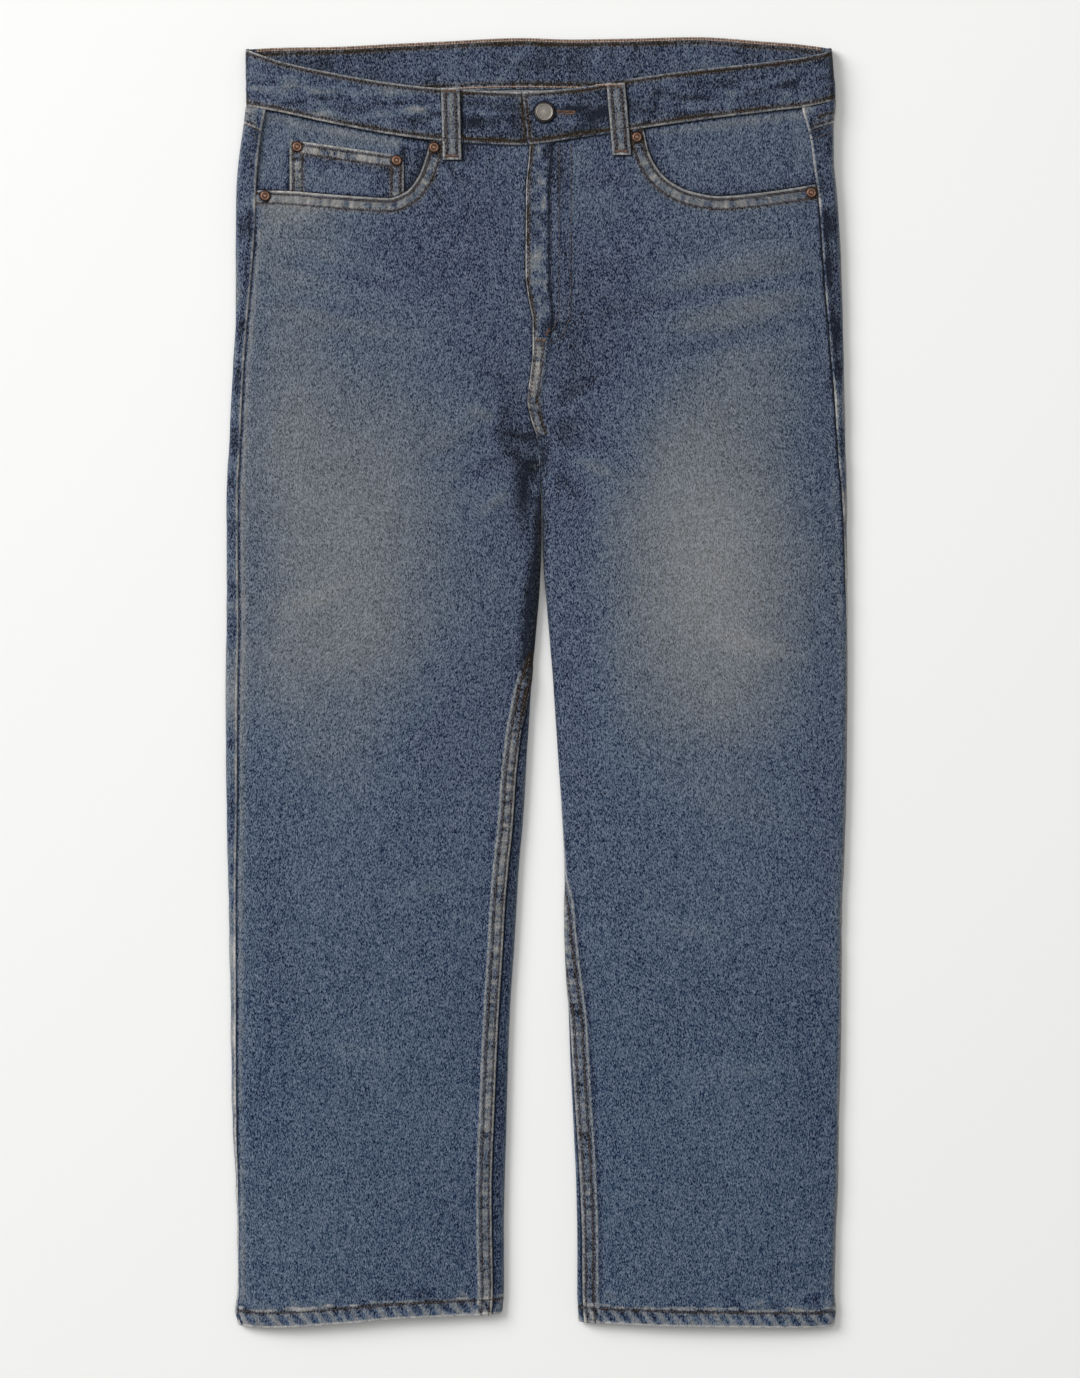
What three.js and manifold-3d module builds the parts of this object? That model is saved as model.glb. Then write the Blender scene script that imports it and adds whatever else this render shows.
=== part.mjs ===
// Straight leg denim jeans, laid flat on their back with the waist towards +Y.
// Millimetres, +Z up. The origin is the middle of the outline on the surface that they lie on.
// "Right" and "left" are the wearer's: the wearer's right leg lies at -X.
// Every cloth piece is a thin wall: its outer points come from one tube around the body and
// each leg, and its inner points lie one wall thickness inside them.
import * as THREE from "three";
import { mergeVertices } from "three/addons/utils/BufferGeometryUtils.js";
import Module from "manifold-3d";

// Cloth and seams
const DENIM = 1.5; // wall of a single layer
const LIGHT_DENIM = 1.2; // pocket facings and the coin pocket
const HEM_WALL = 2.6; // the hem is turned up twice
const BAND_WALL = 2.6; // the waistband is folded double
const GAP = 0.3; // between two pieces that are sewn together
const LAYER = DENIM + GAP; // how far a lapped edge rises over the piece below it
const INSEAM_LAP = 12; // width of the felled inseam

// Heights along the body
const CROTCH_Y = 186;
const VALLEY_TOP_Y = 275; // where the front starts to dip towards the crotch
const ROUND_TOP = 7; // length of cloth in a quarter of a side fold
const OUTER_ROUND = 5; // how far a quarter fold reaches inwards at the outer side
const INNER_ROUND = 6; // and at the inner side of a leg
const BAND_PROUD = 0.7; // the waistband stands this far above the panels

const clamp01 = (t) => Math.min(1, Math.max(0, t));
const smooth = (t) => clamp01(t) ** 2 * (3 - 2 * clamp01(t));
const mix = (a, b, t) => a + (b - a) * t;
const named = (columns, rows) =>
  rows.map((row) => Object.fromEntries(columns.map((name, i) => [name, row[i]])));

// The flat outline. Outer values are distances from the centre line, inner ones are x.
const OUTLINE = named(
  ["y", "rightOuter", "leftOuter", "rightInner", "leftInner", "edge", "crown"],
  [
    [-542, 251.5, 250.3, -31, 34, 8, 5],
    [-528, 254.7, 252.4, -30.3, 32.9, 8, 5],
    [-510, 252.4, 251, -29, 32.3, 8, 5],
    [-468, 252.6, 252, -29, 32.3, 8, 5],
    [-417, 254.1, 254.1, -28.1, 31.3, 8, 5.2],
    [-367, 256.8, 255.4, -26.9, 29, 8, 5.4],
    [-317, 258, 256.7, -25.6, 26.5, 8, 5.6],
    [-266, 258.5, 257.5, -23.5, 24.8, 8, 5.8],
    [-224, 259.3, 257.5, -20.6, 23.3, 8, 6],
    [-191, 260, 257.7, -18.8, 22.3, 8, 6],
    [-157, 260.8, 259.3, -16.8, 21.8, 8.2, 6],
    [-115, 261.7, 260.8, -14, 19.8, 8.2, 6],
    [-65, 262.3, 261.7, -11.3, 16.4, 8.4, 6],
    [0, 262.5, 262.3, -9.7, 11.9, 8.5, 6],
    [49, 261.8, 262.5, -8.8, 7.6, 8.6, 6],
    [83, 261.7, 262.3, -6.8, 4.6, 8.7, 6],
    [130, 261.9, 262, -1, 3.7, 8.8, 5.5],
    [162, 261.7, 261.7, -0.9, 3.7, 8.9, 5],
    [186, 260.5, 261.2, 0.4, 2.2, 9, 5],
    [212, 259.1, 260.5, 0.9, 1.7, 9.2, 5],
    [263, 256.6, 259.4, 0.9, 1.7, 9.6, 5.5],
    [313, 254.1, 258.3, 0.9, 1.7, 10, 6],
    [364, 254.1, 256.6, 0.9, 1.7, 10.6, 6],
    [414, 253.5, 253.3, 0.9, 1.7, 11.4, 5.5],
    [439, 251.6, 250.9, 0.9, 1.7, 12, 5],
    [464, 248.2, 250.7, 0.9, 1.7, 12.6, 4.8],
    [493, 245.7, 252.2, 0.9, 1.7, 13.4, 4.5],
    [518, 246.5, 250.5, 0.9, 1.7, 14, 4],
    [542, 246, 248, 0.9, 1.7, 14, 4],
  ],
);

// Where the seams run. An outseam or inseam value is the length of cloth from the side
// fold to the seam, over the top; below zero it is on the underside.
const SEAMS = named(
  ["y", "rightOutseam", "leftOutseam", "rightInseam", "leftInseam"],
  [
    [-542, 5, 2, 10, 6.3],
    [-510, 3, 1, 10.6, 6.1],
    [-468, 3, 0, 11.3, 5.9],
    [-417, 4, 0, 12.5, 5.2],
    [-350, 6, 0, 11.6, 4.4],
    [-266, 7, 0.3, 10.5, 3.4],
    [-174, 8.7, 0.8, 11.3, 2.3],
    [-98, 12, 1.4, 11, 0.5],
    [-40, 13.2, 2.2, 11, -1],
    [36, 13.8, 4.5, 4.3, -1.4],
    [76, 13, 6, 2, -1.4],
    [123, 12.2, 7.2, 0, -1],
    [158, 12, 8.8, 0, -0.5],
    [194, 11.7, 11.2, 0, 0],
    [241, 10.5, 13, 0, 0],
    [293, 10.7, 16.4, 0, 0],
    [354, 15.7, 20, 0, 0],
    [389, 18.4, 20.4, 0, 0],
    [415, 19.4, 21, 0, 0],
    [449, 19.4, 23.6, 0, 0],
    [464, 19.3, 26.4, 0, 0],
    [486, 20.5, 33, 0, 0],
    [542, 20.5, 33, 0, 0],
  ],
);

// The centre front: the fly's folded edge and the width that it laps over the other side.
const FRONT_LAP = named(
  ["y", "edge", "width"],
  [
    [186, 1.3, 0.1],
    [205, -0.6, 0.1],
    [215, -4.2, 5],
    [238, -9.2, 9.5],
    [259, -6.7, 10.5],
    [280, -4.6, 11.5],
    [303, -4.6, 14.5],
    [322, -8, 17],
    [343, -10.5, 18],
    [414, -10.1, 17.5],
    [453, -7.1, 16.8],
    [542, -7.1, 16.8],
  ],
);

// The waistband's four edges across the waist.
const WAIST = named(
  ["x", "frontTop", "frontSeam", "backTop", "backSeam"],
  [
    [-247, 532.5, 485, 532.5, 485],
    [-226, 524, 482.5, 532.3, 487],
    [-178, 512.5, 472, 533.4, 491],
    [-120, 502.5, 461, 536.2, 495.5],
    [-82, 498.5, 456.3, 538, 497.8],
    [-14, 495.5, 452.8, 541, 499.8],
    [26, 498, 457.5, 539.8, 499.3],
    [74, 506, 464.8, 540.5, 499],
    [132, 514, 473.3, 541.8, 499.3],
    [190, 520.5, 480.7, 538, 496.5],
    [232, 526.5, 486.2, 534, 492.5],
    [250, 532.5, 490.5, 532.5, 490.5],
  ],
);

// The hem's lower edge, by the share of the leg's width from the inside.
const HEM = named(
  ["share", "right", "left"],
  [
    [0, -530, -537],
    [0.2, -532, -539],
    [0.4, -534, -540.5],
    [0.6, -538, -541],
    [0.9, -541.8, -541.8],
    [1, -540, -540.5],
  ],
);

// Pocket mouths, from the outseam to the waist seam.
const MOUTHS = {
  right: named(
    ["x", "y"],
    [
      [-235, 415],
      [-210, 414.5],
      [-180, 412],
      [-149, 409.5],
      [-126, 407.5],
      [-111, 412],
      [-100, 426],
      [-93, 446],
      [-89, 462],
    ],
  ),
  left: named(
    ["x", "y"],
    [
      [235, 419],
      [209, 414.5],
      [180, 410.5],
      [151, 408.2],
      [128, 412],
      [111, 420],
      [99, 432],
      [91, 449],
      [87.5, 467],
    ],
  ),
};

// The largest folds of the front: a soft trough (below zero) or ridge along a line.
const FOLDS = named(
  ["x0", "y0", "x1", "y1", "height", "halfWidth"],
  [
    [-27, 214, 3, 204, -2, 6],
    [-27, 216, -14, 186, -1.6, 6],
    [-9, 180, 6, 189, -1.4, 6],
    [-16, 178, -8, 120, -1.8, 7],
    [52, 330, 234, 364, 1.4, 9],
    [60, 312, 236, 346, -1.2, 8],
    [70, 298, 232, 332, 1.2, 9],
    [90, 272, 226, 300, -1, 9],
    [-232, 330, -90, 306, 1.2, 10],
    [-222, 352, -70, 316, -1, 9],
    [-95, 200, -22, 236, 1, 9],
    [-110, 176, -34, 205, -1, 9],
    [20, 214, 96, 178, -1, 10],
    [-225, -70, -120, -40, 0.9, 14],
    [110, -90, 235, -120, 0.9, 14],
  ],
);

// A smooth line through a column of a table, with no overshoot between its rows.
function lookUp(table, key, column, value) {
  const xs = table.map((row) => row[key]);
  const ys = table.map((row) => row[column]);
  const last = xs.length - 1;
  const up = xs[last] > xs[0] ? 1 : -1;
  if (up * (value - xs[0]) <= 0) return ys[0];
  if (up * (value - xs[last]) >= 0) return ys[last];
  let i = 0;
  while (up * (value - xs[i + 1]) > 0) i += 1;
  const rise = (k) => (ys[k + 1] - ys[k]) / (xs[k + 1] - xs[k]);
  const slope = (k) => {
    if (k === 0) return rise(0);
    if (k === last) return rise(last - 1);
    const [a, b] = [rise(k - 1), rise(k)];
    return a * b <= 0 ? 0 : (2 * a * b) / (a + b);
  };
  const span = xs[i + 1] - xs[i];
  const t = (value - xs[i]) / span;
  const [m0, m1] = [slope(i) * span, slope(i + 1) * span];
  return (
    (2 * t ** 3 - 3 * t ** 2 + 1) * ys[i] +
    (t ** 3 - 2 * t ** 2 + t) * m0 +
    (-2 * t ** 3 + 3 * t ** 2) * ys[i + 1] +
    (t ** 3 - t ** 2) * m1
  );
}

const outline = (column, y) => lookUp(OUTLINE, "y", column, y);
const seam = (column, y) => lookUp(SEAMS, "y", column, y);
const waist = (column, x) => lookUp(WAIST, "x", column, x);
const lapEdge = (y) => lookUp(FRONT_LAP, "y", "edge", y);
const lapWidth = (y) => lookUp(FRONT_LAP, "y", "width", y);

const SIGN = { right: -1, left: 1 };
const outerX = (side, y) => SIGN[side] * outline(`${side}Outer`, y);

// Just above the crotch the two halves close up: over these heights each form takes over.
const CROTCH = {
  lapFrom: 19, // the halves' edges reach the centre front's lap
  backFrom: 8, // the back comes down flat
  underFrom: 20, // the back's edges reach the centre back
  frontClosed: 2, // the front's edge starts to open out of its roll
  frontOpen: 20, // and takes this much longer to lie open
  bodyFrom: 150, // the two crowns of the legs have become one
  legDip: 70, // down the legs, the dip between them fades out
};
const CENTRE_BACK = { x: 1.3, half: 0.15 };
const EDGE_CLEAR = { x: 0.4, below: 215 }; // the halves keep apart where they start to lap

// The inner end of a half's front: a leg's inner side, or the centre front above the crotch.
function innerX(side, y) {
  if (y <= CROTCH_Y) return outline(`${side}Inner`, y);
  const lapped = smooth((y - CROTCH_Y) / CROTCH.lapFrom);
  const centre = lapEdge(y) + (side === "right" ? lapWidth(y) : 0);
  const clear = y < EDGE_CLEAR.below ? EDGE_CLEAR.x * SIGN[side] : 0;
  return mix(outline(`${side}Inner`, y), centre + clear, lapped);
}

// The middle of the dip between the legs.
const valleyX = (side, y) => (y <= CROTCH_Y ? outline(`${side}Inner`, y) : lapEdge(y) + lapWidth(y) / 2);

const FOLD_END = 0.35; // a fold's height at its ends, as a share of its middle's
function foldHeight(x, y) {
  let total = 0;
  for (const fold of FOLDS) {
    const [dx, dy] = [fold.x1 - fold.x0, fold.y1 - fold.y0];
    const t = clamp01(((x - fold.x0) * dx + (y - fold.y0) * dy) / (dx * dx + dy * dy));
    const away = Math.hypot(x - fold.x0 - t * dx, y - fold.y0 - t * dy);
    const fade = mix(FOLD_END, 1, Math.sin(Math.PI * t));
    total += fold.height * fade * Math.exp(-((away / fold.halfWidth) ** 2));
  }
  return total;
}

// Underside of the back: flat on the surface, and one layer up over the patches on the seat.
const SEAT = { x: 205, xEnd: 232, y: 225, yEnd: 195 };
const underside = (x, y) =>
  LAYER *
  smooth((SEAT.xEnd - Math.abs(x)) / (SEAT.xEnd - SEAT.x)) *
  smooth((y - SEAT.yEnd) / (SEAT.y - SEAT.yEnd));

// The front never comes down onto the back: below this height over it a fold levels out.
const LOWEST_TOP = 4.2;
const LEVEL_SOFTNESS = 0.6;
const noLowerThan = (low, z) => (z + low + Math.sqrt((z - low) ** 2 + LEVEL_SOFTNESS)) / 2;

// The dip between the legs: its half width at the crotch and at its upper end, and how much
// of the crown it takes away.
const DIP = { crotchWidth: 12, upperWidth: 26, lostCrown: 0.8 };

// Top of the front, as a single layer would lie.
function topside(side, x, y) {
  const edge = outline("edge", y);
  const [inner, outer] = [outline(`${side}Inner`, y), outerX(side, y)];
  const share = clamp01((x - inner) / (outer - inner));
  const legCrown = 1 - Math.abs(2 * share - 1) ** 3;
  const bodyCrown = 1 - Math.abs(x / outer) ** 4;
  const crown = outline("crown", y) * mix(legCrown, bodyCrown, smooth((y - CROTCH_Y) / CROTCH.bodyFrom));
  const upTheFront = (y - CROTCH_Y) / (VALLEY_TOP_Y - CROTCH_Y);
  const depth = 1 - smooth(y > CROTCH_Y ? upTheFront : (CROTCH_Y - y) / CROTCH.legDip);
  const away = (x - valleyX(side, y)) / mix(DIP.crotchWidth, DIP.upperWidth, smooth(upTheFront));
  const dip = depth * (edge / 2) * Math.exp(-(away ** 2));
  const lost = DIP.lostCrown * depth * Math.exp(-((away / 2) ** 2));
  return noLowerThan(underside(x, y) + LOWEST_TOP, edge + crown * (1 - lost) - dip + foldHeight(x, y));
}

const SLOPE_STEP = 0.4; // the slope of the cloth is read this far to each side

// One half of the tube at height y. s is the length of cloth from the inner side, over the
// top to the outer side (s = over), and on along the underside back to the inner side (s = all).
function section(side, y) {
  const sign = SIGN[side];
  const [inner, outer] = [innerX(side, y), outerX(side, y)];
  const centreBack = CENTRE_BACK.x + CENTRE_BACK.half * sign;
  const under = mix(inner, centreBack, smooth((y - CROTCH_Y) / CROTCH.underFrom));
  const middle = outline("edge", y) / 2;
  const run = (from) => Math.abs(outer - from) - INNER_ROUND - OUTER_ROUND;
  const over = 2 * ROUND_TOP + run(inner);
  const all = over + 2 * ROUND_TOP + run(under);
  // 0 for a closed leg, 1 for the body
  const open = smooth((y - CROTCH_Y - CROTCH.frontClosed) / CROTCH.frontOpen);

  function point(length) {
    let s = length;
    if (s < 0) s += all;
    if (s > all) s -= all;
    const onTop = s <= over;
    const start = onTop ? inner : under;
    const fromInner = onTop ? s : all - s;
    const fromOuter = Math.abs(s - over);
    if (fromInner < ROUND_TOP) {
      const turn = (fromInner / ROUND_TOP) * (Math.PI / 2);
      const x = start + sign * INNER_ROUND * (1 - Math.cos(turn));
      if (onTop) {
        const top = topside(side, x, y);
        return [x, mix(middle + (top - middle) * Math.sin(turn), top, open)];
      }
      const floor = underside(x, y);
      const lift = (middle - floor) * (1 - smooth((y - CROTCH_Y) / CROTCH.backFrom));
      return [x, floor + lift * (1 - Math.sin(turn))];
    }
    if (fromOuter < ROUND_TOP) {
      const turn = (fromOuter / ROUND_TOP) * (Math.PI / 2);
      const x = outer - sign * OUTER_ROUND * (1 - Math.cos(turn));
      const target = onTop ? topside(side, x, y) : underside(x, y);
      return [x, middle + (target - middle) * Math.sin(turn)];
    }
    const x = start + sign * (INNER_ROUND + fromInner - ROUND_TOP);
    return [x, onTop ? topside(side, x, y) : underside(x, y)];
  }

  // A point of the tube moved out (or in, below zero) across the cloth.
  function offset(s, out) {
    const step = SLOPE_STEP;
    const [a, b] = [point(s - step), point(s + step)];
    const [dx, dz] = [b[0] - a[0], b[1] - a[1]];
    const size = Math.hypot(dx, dz) || 1;
    const [x, z] = point(s);
    return new THREE.Vector3(x - sign * (dz / size) * out, y, z + sign * (dx / size) * out);
  }
  // The length of cloth up to a point of the front at x, away from its two rounded ends.
  const lengthAt = (x) => Math.abs(x - inner) - INNER_ROUND + ROUND_TOP;
  return { over, all, offset, lengthAt };
}

// A closed wall between two grids of points with the same rows and columns.
function wall(outer, inner) {
  const [rows, columns] = [outer.length, outer[0].length];
  const points = [...outer.flat(), ...inner.flat()];
  const at = (face, r, c) => face * rows * columns + r * columns + c;
  const triangles = [];
  const quad = (a, b, c, d) => triangles.push(a, b, c, a, c, d);
  for (let r = 0; r + 1 < rows; r += 1) {
    for (let c = 0; c + 1 < columns; c += 1) {
      quad(at(0, r, c), at(0, r, c + 1), at(0, r + 1, c + 1), at(0, r + 1, c));
      quad(at(1, r, c), at(1, r + 1, c), at(1, r + 1, c + 1), at(1, r, c + 1));
    }
  }
  const last = columns - 1;
  for (let r = 0; r + 1 < rows; r += 1) {
    quad(at(0, r, 0), at(0, r + 1, 0), at(1, r + 1, 0), at(1, r, 0));
    quad(at(0, r + 1, last), at(0, r, last), at(1, r, last), at(1, r + 1, last));
  }
  for (let c = 0; c + 1 < columns; c += 1) {
    quad(at(0, 0, c + 1), at(0, 0, c), at(1, 0, c), at(1, 0, c + 1));
    quad(at(0, rows - 1, c), at(0, rows - 1, c + 1), at(1, rows - 1, c + 1), at(1, rows - 1, c));
  }
  return facingOut(points, triangles);
}

// A geometry whose faces point out, whichever way round its grids were given.
function facingOut(points, triangles) {
  const cross = new THREE.Vector3();
  let volume = 0;
  for (let i = 0; i < triangles.length; i += 3) {
    const [a, b, c] = [points[triangles[i]], points[triangles[i + 1]], points[triangles[i + 2]]];
    volume += a.dot(cross.crossVectors(b, c));
  }
  if (volume < 0) {
    for (let i = 0; i < triangles.length; i += 3) {
      [triangles[i], triangles[i + 1]] = [triangles[i + 1], triangles[i]];
    }
  }
  const geometry = new THREE.BufferGeometry().setFromPoints(points);
  geometry.setIndex(triangles);
  return geometry;
}

// Rows of the panels, from the hem's fold to below the pockets.
const LEG_ROWS = [
  -528, -526.5, -505, -480, -440, -400, -360, -320, -280, -240, -200, -160, -120, -80, -40, 0, 36,
  70, 100, 125, 145, 158, 168, 178, 186, 195, 205, 215, 227, 240, 258, 280, 304, 322, 345, 370, 400,
];
const HEM_ROWS = [0, 0.9]; // shares of the way from the hem's edge to the first leg row
const UPPER_ROWS = [0.34, 0.67, 1]; // shares of the way from the last leg row to the panel's top

// The hem's edge below a place on a leg, by its share of the leg's width from the inside.
const IN_HEM_Y = -535;
function hemY(side, x) {
  const [inner, outer] = [outline(`${side}Inner`, IN_HEM_Y), outerX(side, IN_HEM_Y)];
  return lookUp(HEM, "share", side, clamp01((x - inner) / (outer - inner)));
}

// The height of row r, in a column whose hem and top lie at these heights.
function rowY(r, bottomY, topY) {
  const [first, last] = [LEG_ROWS[0], LEG_ROWS[LEG_ROWS.length - 1]];
  if (r < HEM_ROWS.length) return mix(bottomY, first, HEM_ROWS[r]);
  if (r < HEM_ROWS.length + LEG_ROWS.length) return LEG_ROWS[r - HEM_ROWS.length];
  return mix(last, topY, UPPER_ROWS[r - HEM_ROWS.length - LEG_ROWS.length]);
}
const ROW_COUNT = HEM_ROWS.length + LEG_ROWS.length + UPPER_ROWS.length;

const HEM_TOP_Y = LEG_ROWS[0];
const panelWall = (y) => (y <= HEM_TOP_Y ? HEM_WALL : DENIM);

// The felled inseam: the front's edge rises, and then laps over the back's.
const INSEAM = { flatY: 178, risenY: 168, lappedY: 158 };
const inseamRise = (y) => LAYER * clamp01((INSEAM.flatY - y) / (INSEAM.flatY - INSEAM.risenY));
const inseamLap = (y) => clamp01((INSEAM.risenY - y) / (INSEAM.risenY - INSEAM.lappedY));

// The fly and the seam below it, where the left front laps over the right one.
const FLY = { flatY: 195, risenY: 205, narrowest: 6, clear: 0.8 };
const flyRise = (y) => LAYER * clamp01((y - FLY.flatY) / (FLY.risenY - FLY.flatY));
const LAP_RAMP = 4; // cloth that comes down beside a lapped seam

// A half's front at height y: its lapped edge, and lengths of cloth at its columns.
function frontRow(side, y) {
  const cut = section(side, y);
  const onLeg = y <= CROTCH_Y;
  const start = onLeg ? seam(`${side}Inseam`, y) : GAP / 2;
  const width = onLeg ? INSEAM_LAP : Math.max(FLY.narrowest, lapWidth(y));
  const flyRises = side === "left" ? flyRise(y) : 0;
  const rise = onLeg ? inseamRise(y) : flyRises;
  const clear = !onLeg && side === "left" ? FLY.clear : 0;
  const lap = [start, start + width / 2, start + width + clear];
  const from = start + width + LAP_RAMP;
  const to = cut.over - seam(`${side}Outseam`, y) - GAP / 2;
  return { cut, rise, lap, from, to };
}

const BAND_Y = 453; // the waist seam at the centre front
const PASSES = 4; // tries that bring a column's end onto a sloping seam

// Shares across a front, from the waist seam's inner end to the pocket mouth's.
const WAIST_SHARES = [0, 0.3, 0.6, 0.82];

// The upper ends of a front's columns: how far across the front each one runs, and its height.
function frontColumns(side) {
  const shareAt = (x, y) => {
    const row = frontRow(side, y);
    return (row.cut.lengthAt(x) - row.from) / (row.to - row.from);
  };
  const mouth = [...MOUTHS[side]].reverse();
  const end = { x: mouth[0].x, y: waist("frontSeam", mouth[0].x) - GAP };
  const mouthEnd = shareAt(end.x, end.y);
  const onWaist = WAIST_SHARES.map((t) => {
    const share = t * mouthEnd;
    let y = end.y;
    for (let pass = 0; pass < PASSES; pass += 1) {
      const row = frontRow(side, y);
      y = waist("frontSeam", row.cut.offset(mix(row.from, row.to, share), 0).x) - GAP;
    }
    return { share, y };
  });
  const onMouth = mouth.slice(1).map(({ x, y }, i) => {
    const last = i === mouth.length - 2;
    return { share: last ? 1 : shareAt(x, y), y };
  });
  return [...onWaist, { share: mouthEnd, y: end.y }, ...onMouth];
}

function frontPanel(side) {
  const columns = frontColumns(side);
  const lapX = (i) => lapEdge(BAND_Y) + (side === "left" ? i / 2 : 1 - i / 2) * lapWidth(BAND_Y);
  const [outer, inner] = [[], []];
  for (let r = 0; r < ROW_COUNT; r += 1) {
    const [outerRow, innerRow] = [[], []];
    const addPoint = (lengthIn, topY, risenBy) => {
      const hem = hemY(side, lengthIn(frontRow(side, IN_HEM_Y)).x);
      const y = rowY(r, hem, topY);
      const row = frontRow(side, y);
      const rise = risenBy * row.rise;
      const { s } = lengthIn(row);
      outerRow.push(row.cut.offset(s, rise));
      innerRow.push(row.cut.offset(s, rise > 0 ? rise - DENIM : -panelWall(y)));
    };
    const place = (row, s) => ({ s, x: row.cut.offset(s, 0).x });
    for (const i of [0, 1, 2]) {
      addPoint((row) => place(row, row.lap[i]), waist("frontSeam", lapX(i)) - GAP, 1);
    }
    for (const { share, y } of columns) {
      addPoint((row) => place(row, mix(row.from, row.to, share)), y, 0);
    }
    outer.push(outerRow);
    inner.push(innerRow);
  }
  return wall(outer, inner);
}

// The seam between the yoke and the back, from the outseam round to the centre back.
const YOKE_SEAM = { outseam: 463, fold: 471, centre: 432 };
function yokeY({ cut, list }, s) {
  const { outseam, fold, centre } = YOKE_SEAM;
  if (s <= cut.over) return mix(outseam, fold, clamp01((s - list[0]) / (cut.over - list[0])));
  return mix(fold, centre, clamp01((s - cut.over) / (cut.all - cut.over)));
}

// Lengths of cloth around the back, from the outseam to the centre back or the inseam.
const UNDER_SHARES = [0.1, 0.22, 0.45, 0.68, 0.88];
const INNER_SHARES = [0, 0.3, 0.6, 0.8, 1];
const BACK_END = 6; // width of the last two columns where nothing is lapped
const TURN_SHARE = 0.8; // of the back's reach over the top, where it bends into the side fold
const LEAST_REACH = 0.5;
function aroundBack(side, y) {
  const cut = section(side, y);
  const reach = seam(`${side}Outseam`, y);
  const start = cut.over - reach + GAP / 2;
  const turn = Math.min(ROUND_TOP, TURN_SHARE * Math.max(reach, LEAST_REACH));
  const bend = cut.over - turn;
  const outerSide = [start, mix(start, bend, 0.5), bend, cut.over - turn / 2, cut.over];
  const outerTurn = [0.35, 0.7, 1].map((t) => cut.over + t * ROUND_TOP);
  const onLeg = y <= CROTCH_Y;
  const lapped = onLeg ? inseamLap(y) : 0;
  const end = cut.all + (onLeg ? seam(`${side}Inseam`, y) : 0) + mix(-2 * GAP, INSEAM_LAP, lapped);
  const turnFrom = cut.all - 2 * ROUND_TOP;
  const turnTo = end - mix(BACK_END, INSEAM_LAP, lapped);
  const under = UNDER_SHARES.map((t) => mix(cut.over + ROUND_TOP, turnFrom, t));
  const inside = INNER_SHARES.map((t) => mix(turnFrom, turnTo, t));
  return { cut, list: [...outerSide, ...outerTurn, ...under, ...inside, mix(turnTo, end, 0.5), end] };
}

function backPanel(side) {
  const [outer, inner] = [[], []];
  const count = aroundBack(side, 0).list.length;
  for (let r = 0; r < ROW_COUNT; r += 1) {
    const [outerRow, innerRow] = [[], []];
    for (let c = 0; c < count; c += 1) {
      const low = aroundBack(side, IN_HEM_Y);
      const high = aroundBack(side, YOKE_SEAM.centre);
      const hem = hemY(side, low.cut.offset(low.list[c], 0).x);
      const y = rowY(r, hem, yokeY(high, high.list[c]) - GAP / 2);
      const { cut, list } = aroundBack(side, y);
      outerRow.push(cut.offset(list[c], 0));
      innerRow.push(cut.offset(list[c], -panelWall(y)));
    }
    outer.push(outerRow);
    inner.push(innerRow);
  }
  return wall(outer, inner);
}

// The waistband's lower edge at x, on the front or on the back.
const bandSeam = (x, onFront) => waist(onFront ? "frontSeam" : "backSeam", x);

const YOKE_ROWS = [0, 0.33, 0.67, 1];
function yoke(side) {
  const [outer, inner] = [[], []];
  const middle = aroundBack(side, YOKE_SEAM.centre);
  for (const t of YOKE_ROWS) {
    const [outerRow, innerRow] = [[], []];
    middle.list.forEach((length, c) => {
      const low = yokeY(middle, length) + GAP / 2;
      let y = low;
      for (let pass = 0; pass < PASSES; pass += 1) {
        const { cut, list } = aroundBack(side, y);
        const high = bandSeam(cut.offset(list[c], 0).x, list[c] < cut.over) - GAP;
        y = mix(low, high, t);
      }
      const { cut, list } = aroundBack(side, y);
      outerRow.push(cut.offset(list[c], 0));
      innerRow.push(cut.offset(list[c], -DENIM));
    });
    outer.push(outerRow);
    inner.push(innerRow);
  }
  return wall(outer, inner);
}

// The waistband: one folded strip from the under end at the right, round the back, to the
// over end at the left, which carries the buttonhole.
const UNDER_END_X = 28;
const OVER_END = { top: -14, seam: -9 };
const UNDER_SINK = 1.9;
const OVER_RISE = 1;
const UNDER_RAMP = { from: -28, length: 12.5 };
const OVER_RAMP = { from: 46, length: 15 };
const BAND_ROWS = [0, 0.33, 0.67, 1];
const BAND_UNDER_X = [UNDER_END_X, 10, -3, -15.5, -28, -52, -82, -112, -142, -172, -200, -222];
const BAND_OVER_X = [222, 200, 175, 145, 115, 90, 62, 46, 31, 10, -3];
const BAND_BACK_X = [-225, -205, -180, -155, -130, -100, -65, -30, 0, 30, 65, 100, 130, 155, 180, 205, 225];
const FOLD_TURNS = [0, 1 / 6, 2 / 6, 3 / 6, 4 / 6, 5 / 6, 1];

// A point of the waistband's middle surface on the front, at x and a share of its height.
function bandFront(side, x, t, rise) {
  const y = mix(waist("frontSeam", x), waist("frontTop", x), t);
  const top = topside(side, x, y) + BAND_PROUD + rise;
  return [new THREE.Vector3(x, y, top), new THREE.Vector3(x, y, top - BAND_WALL)];
}

function bandBack(x, t) {
  const y = mix(waist("backSeam", x), waist("backTop", x), t);
  const low = underside(x, y);
  return [new THREE.Vector3(x, y, low), new THREE.Vector3(x, y, low + BAND_WALL)];
}

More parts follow.
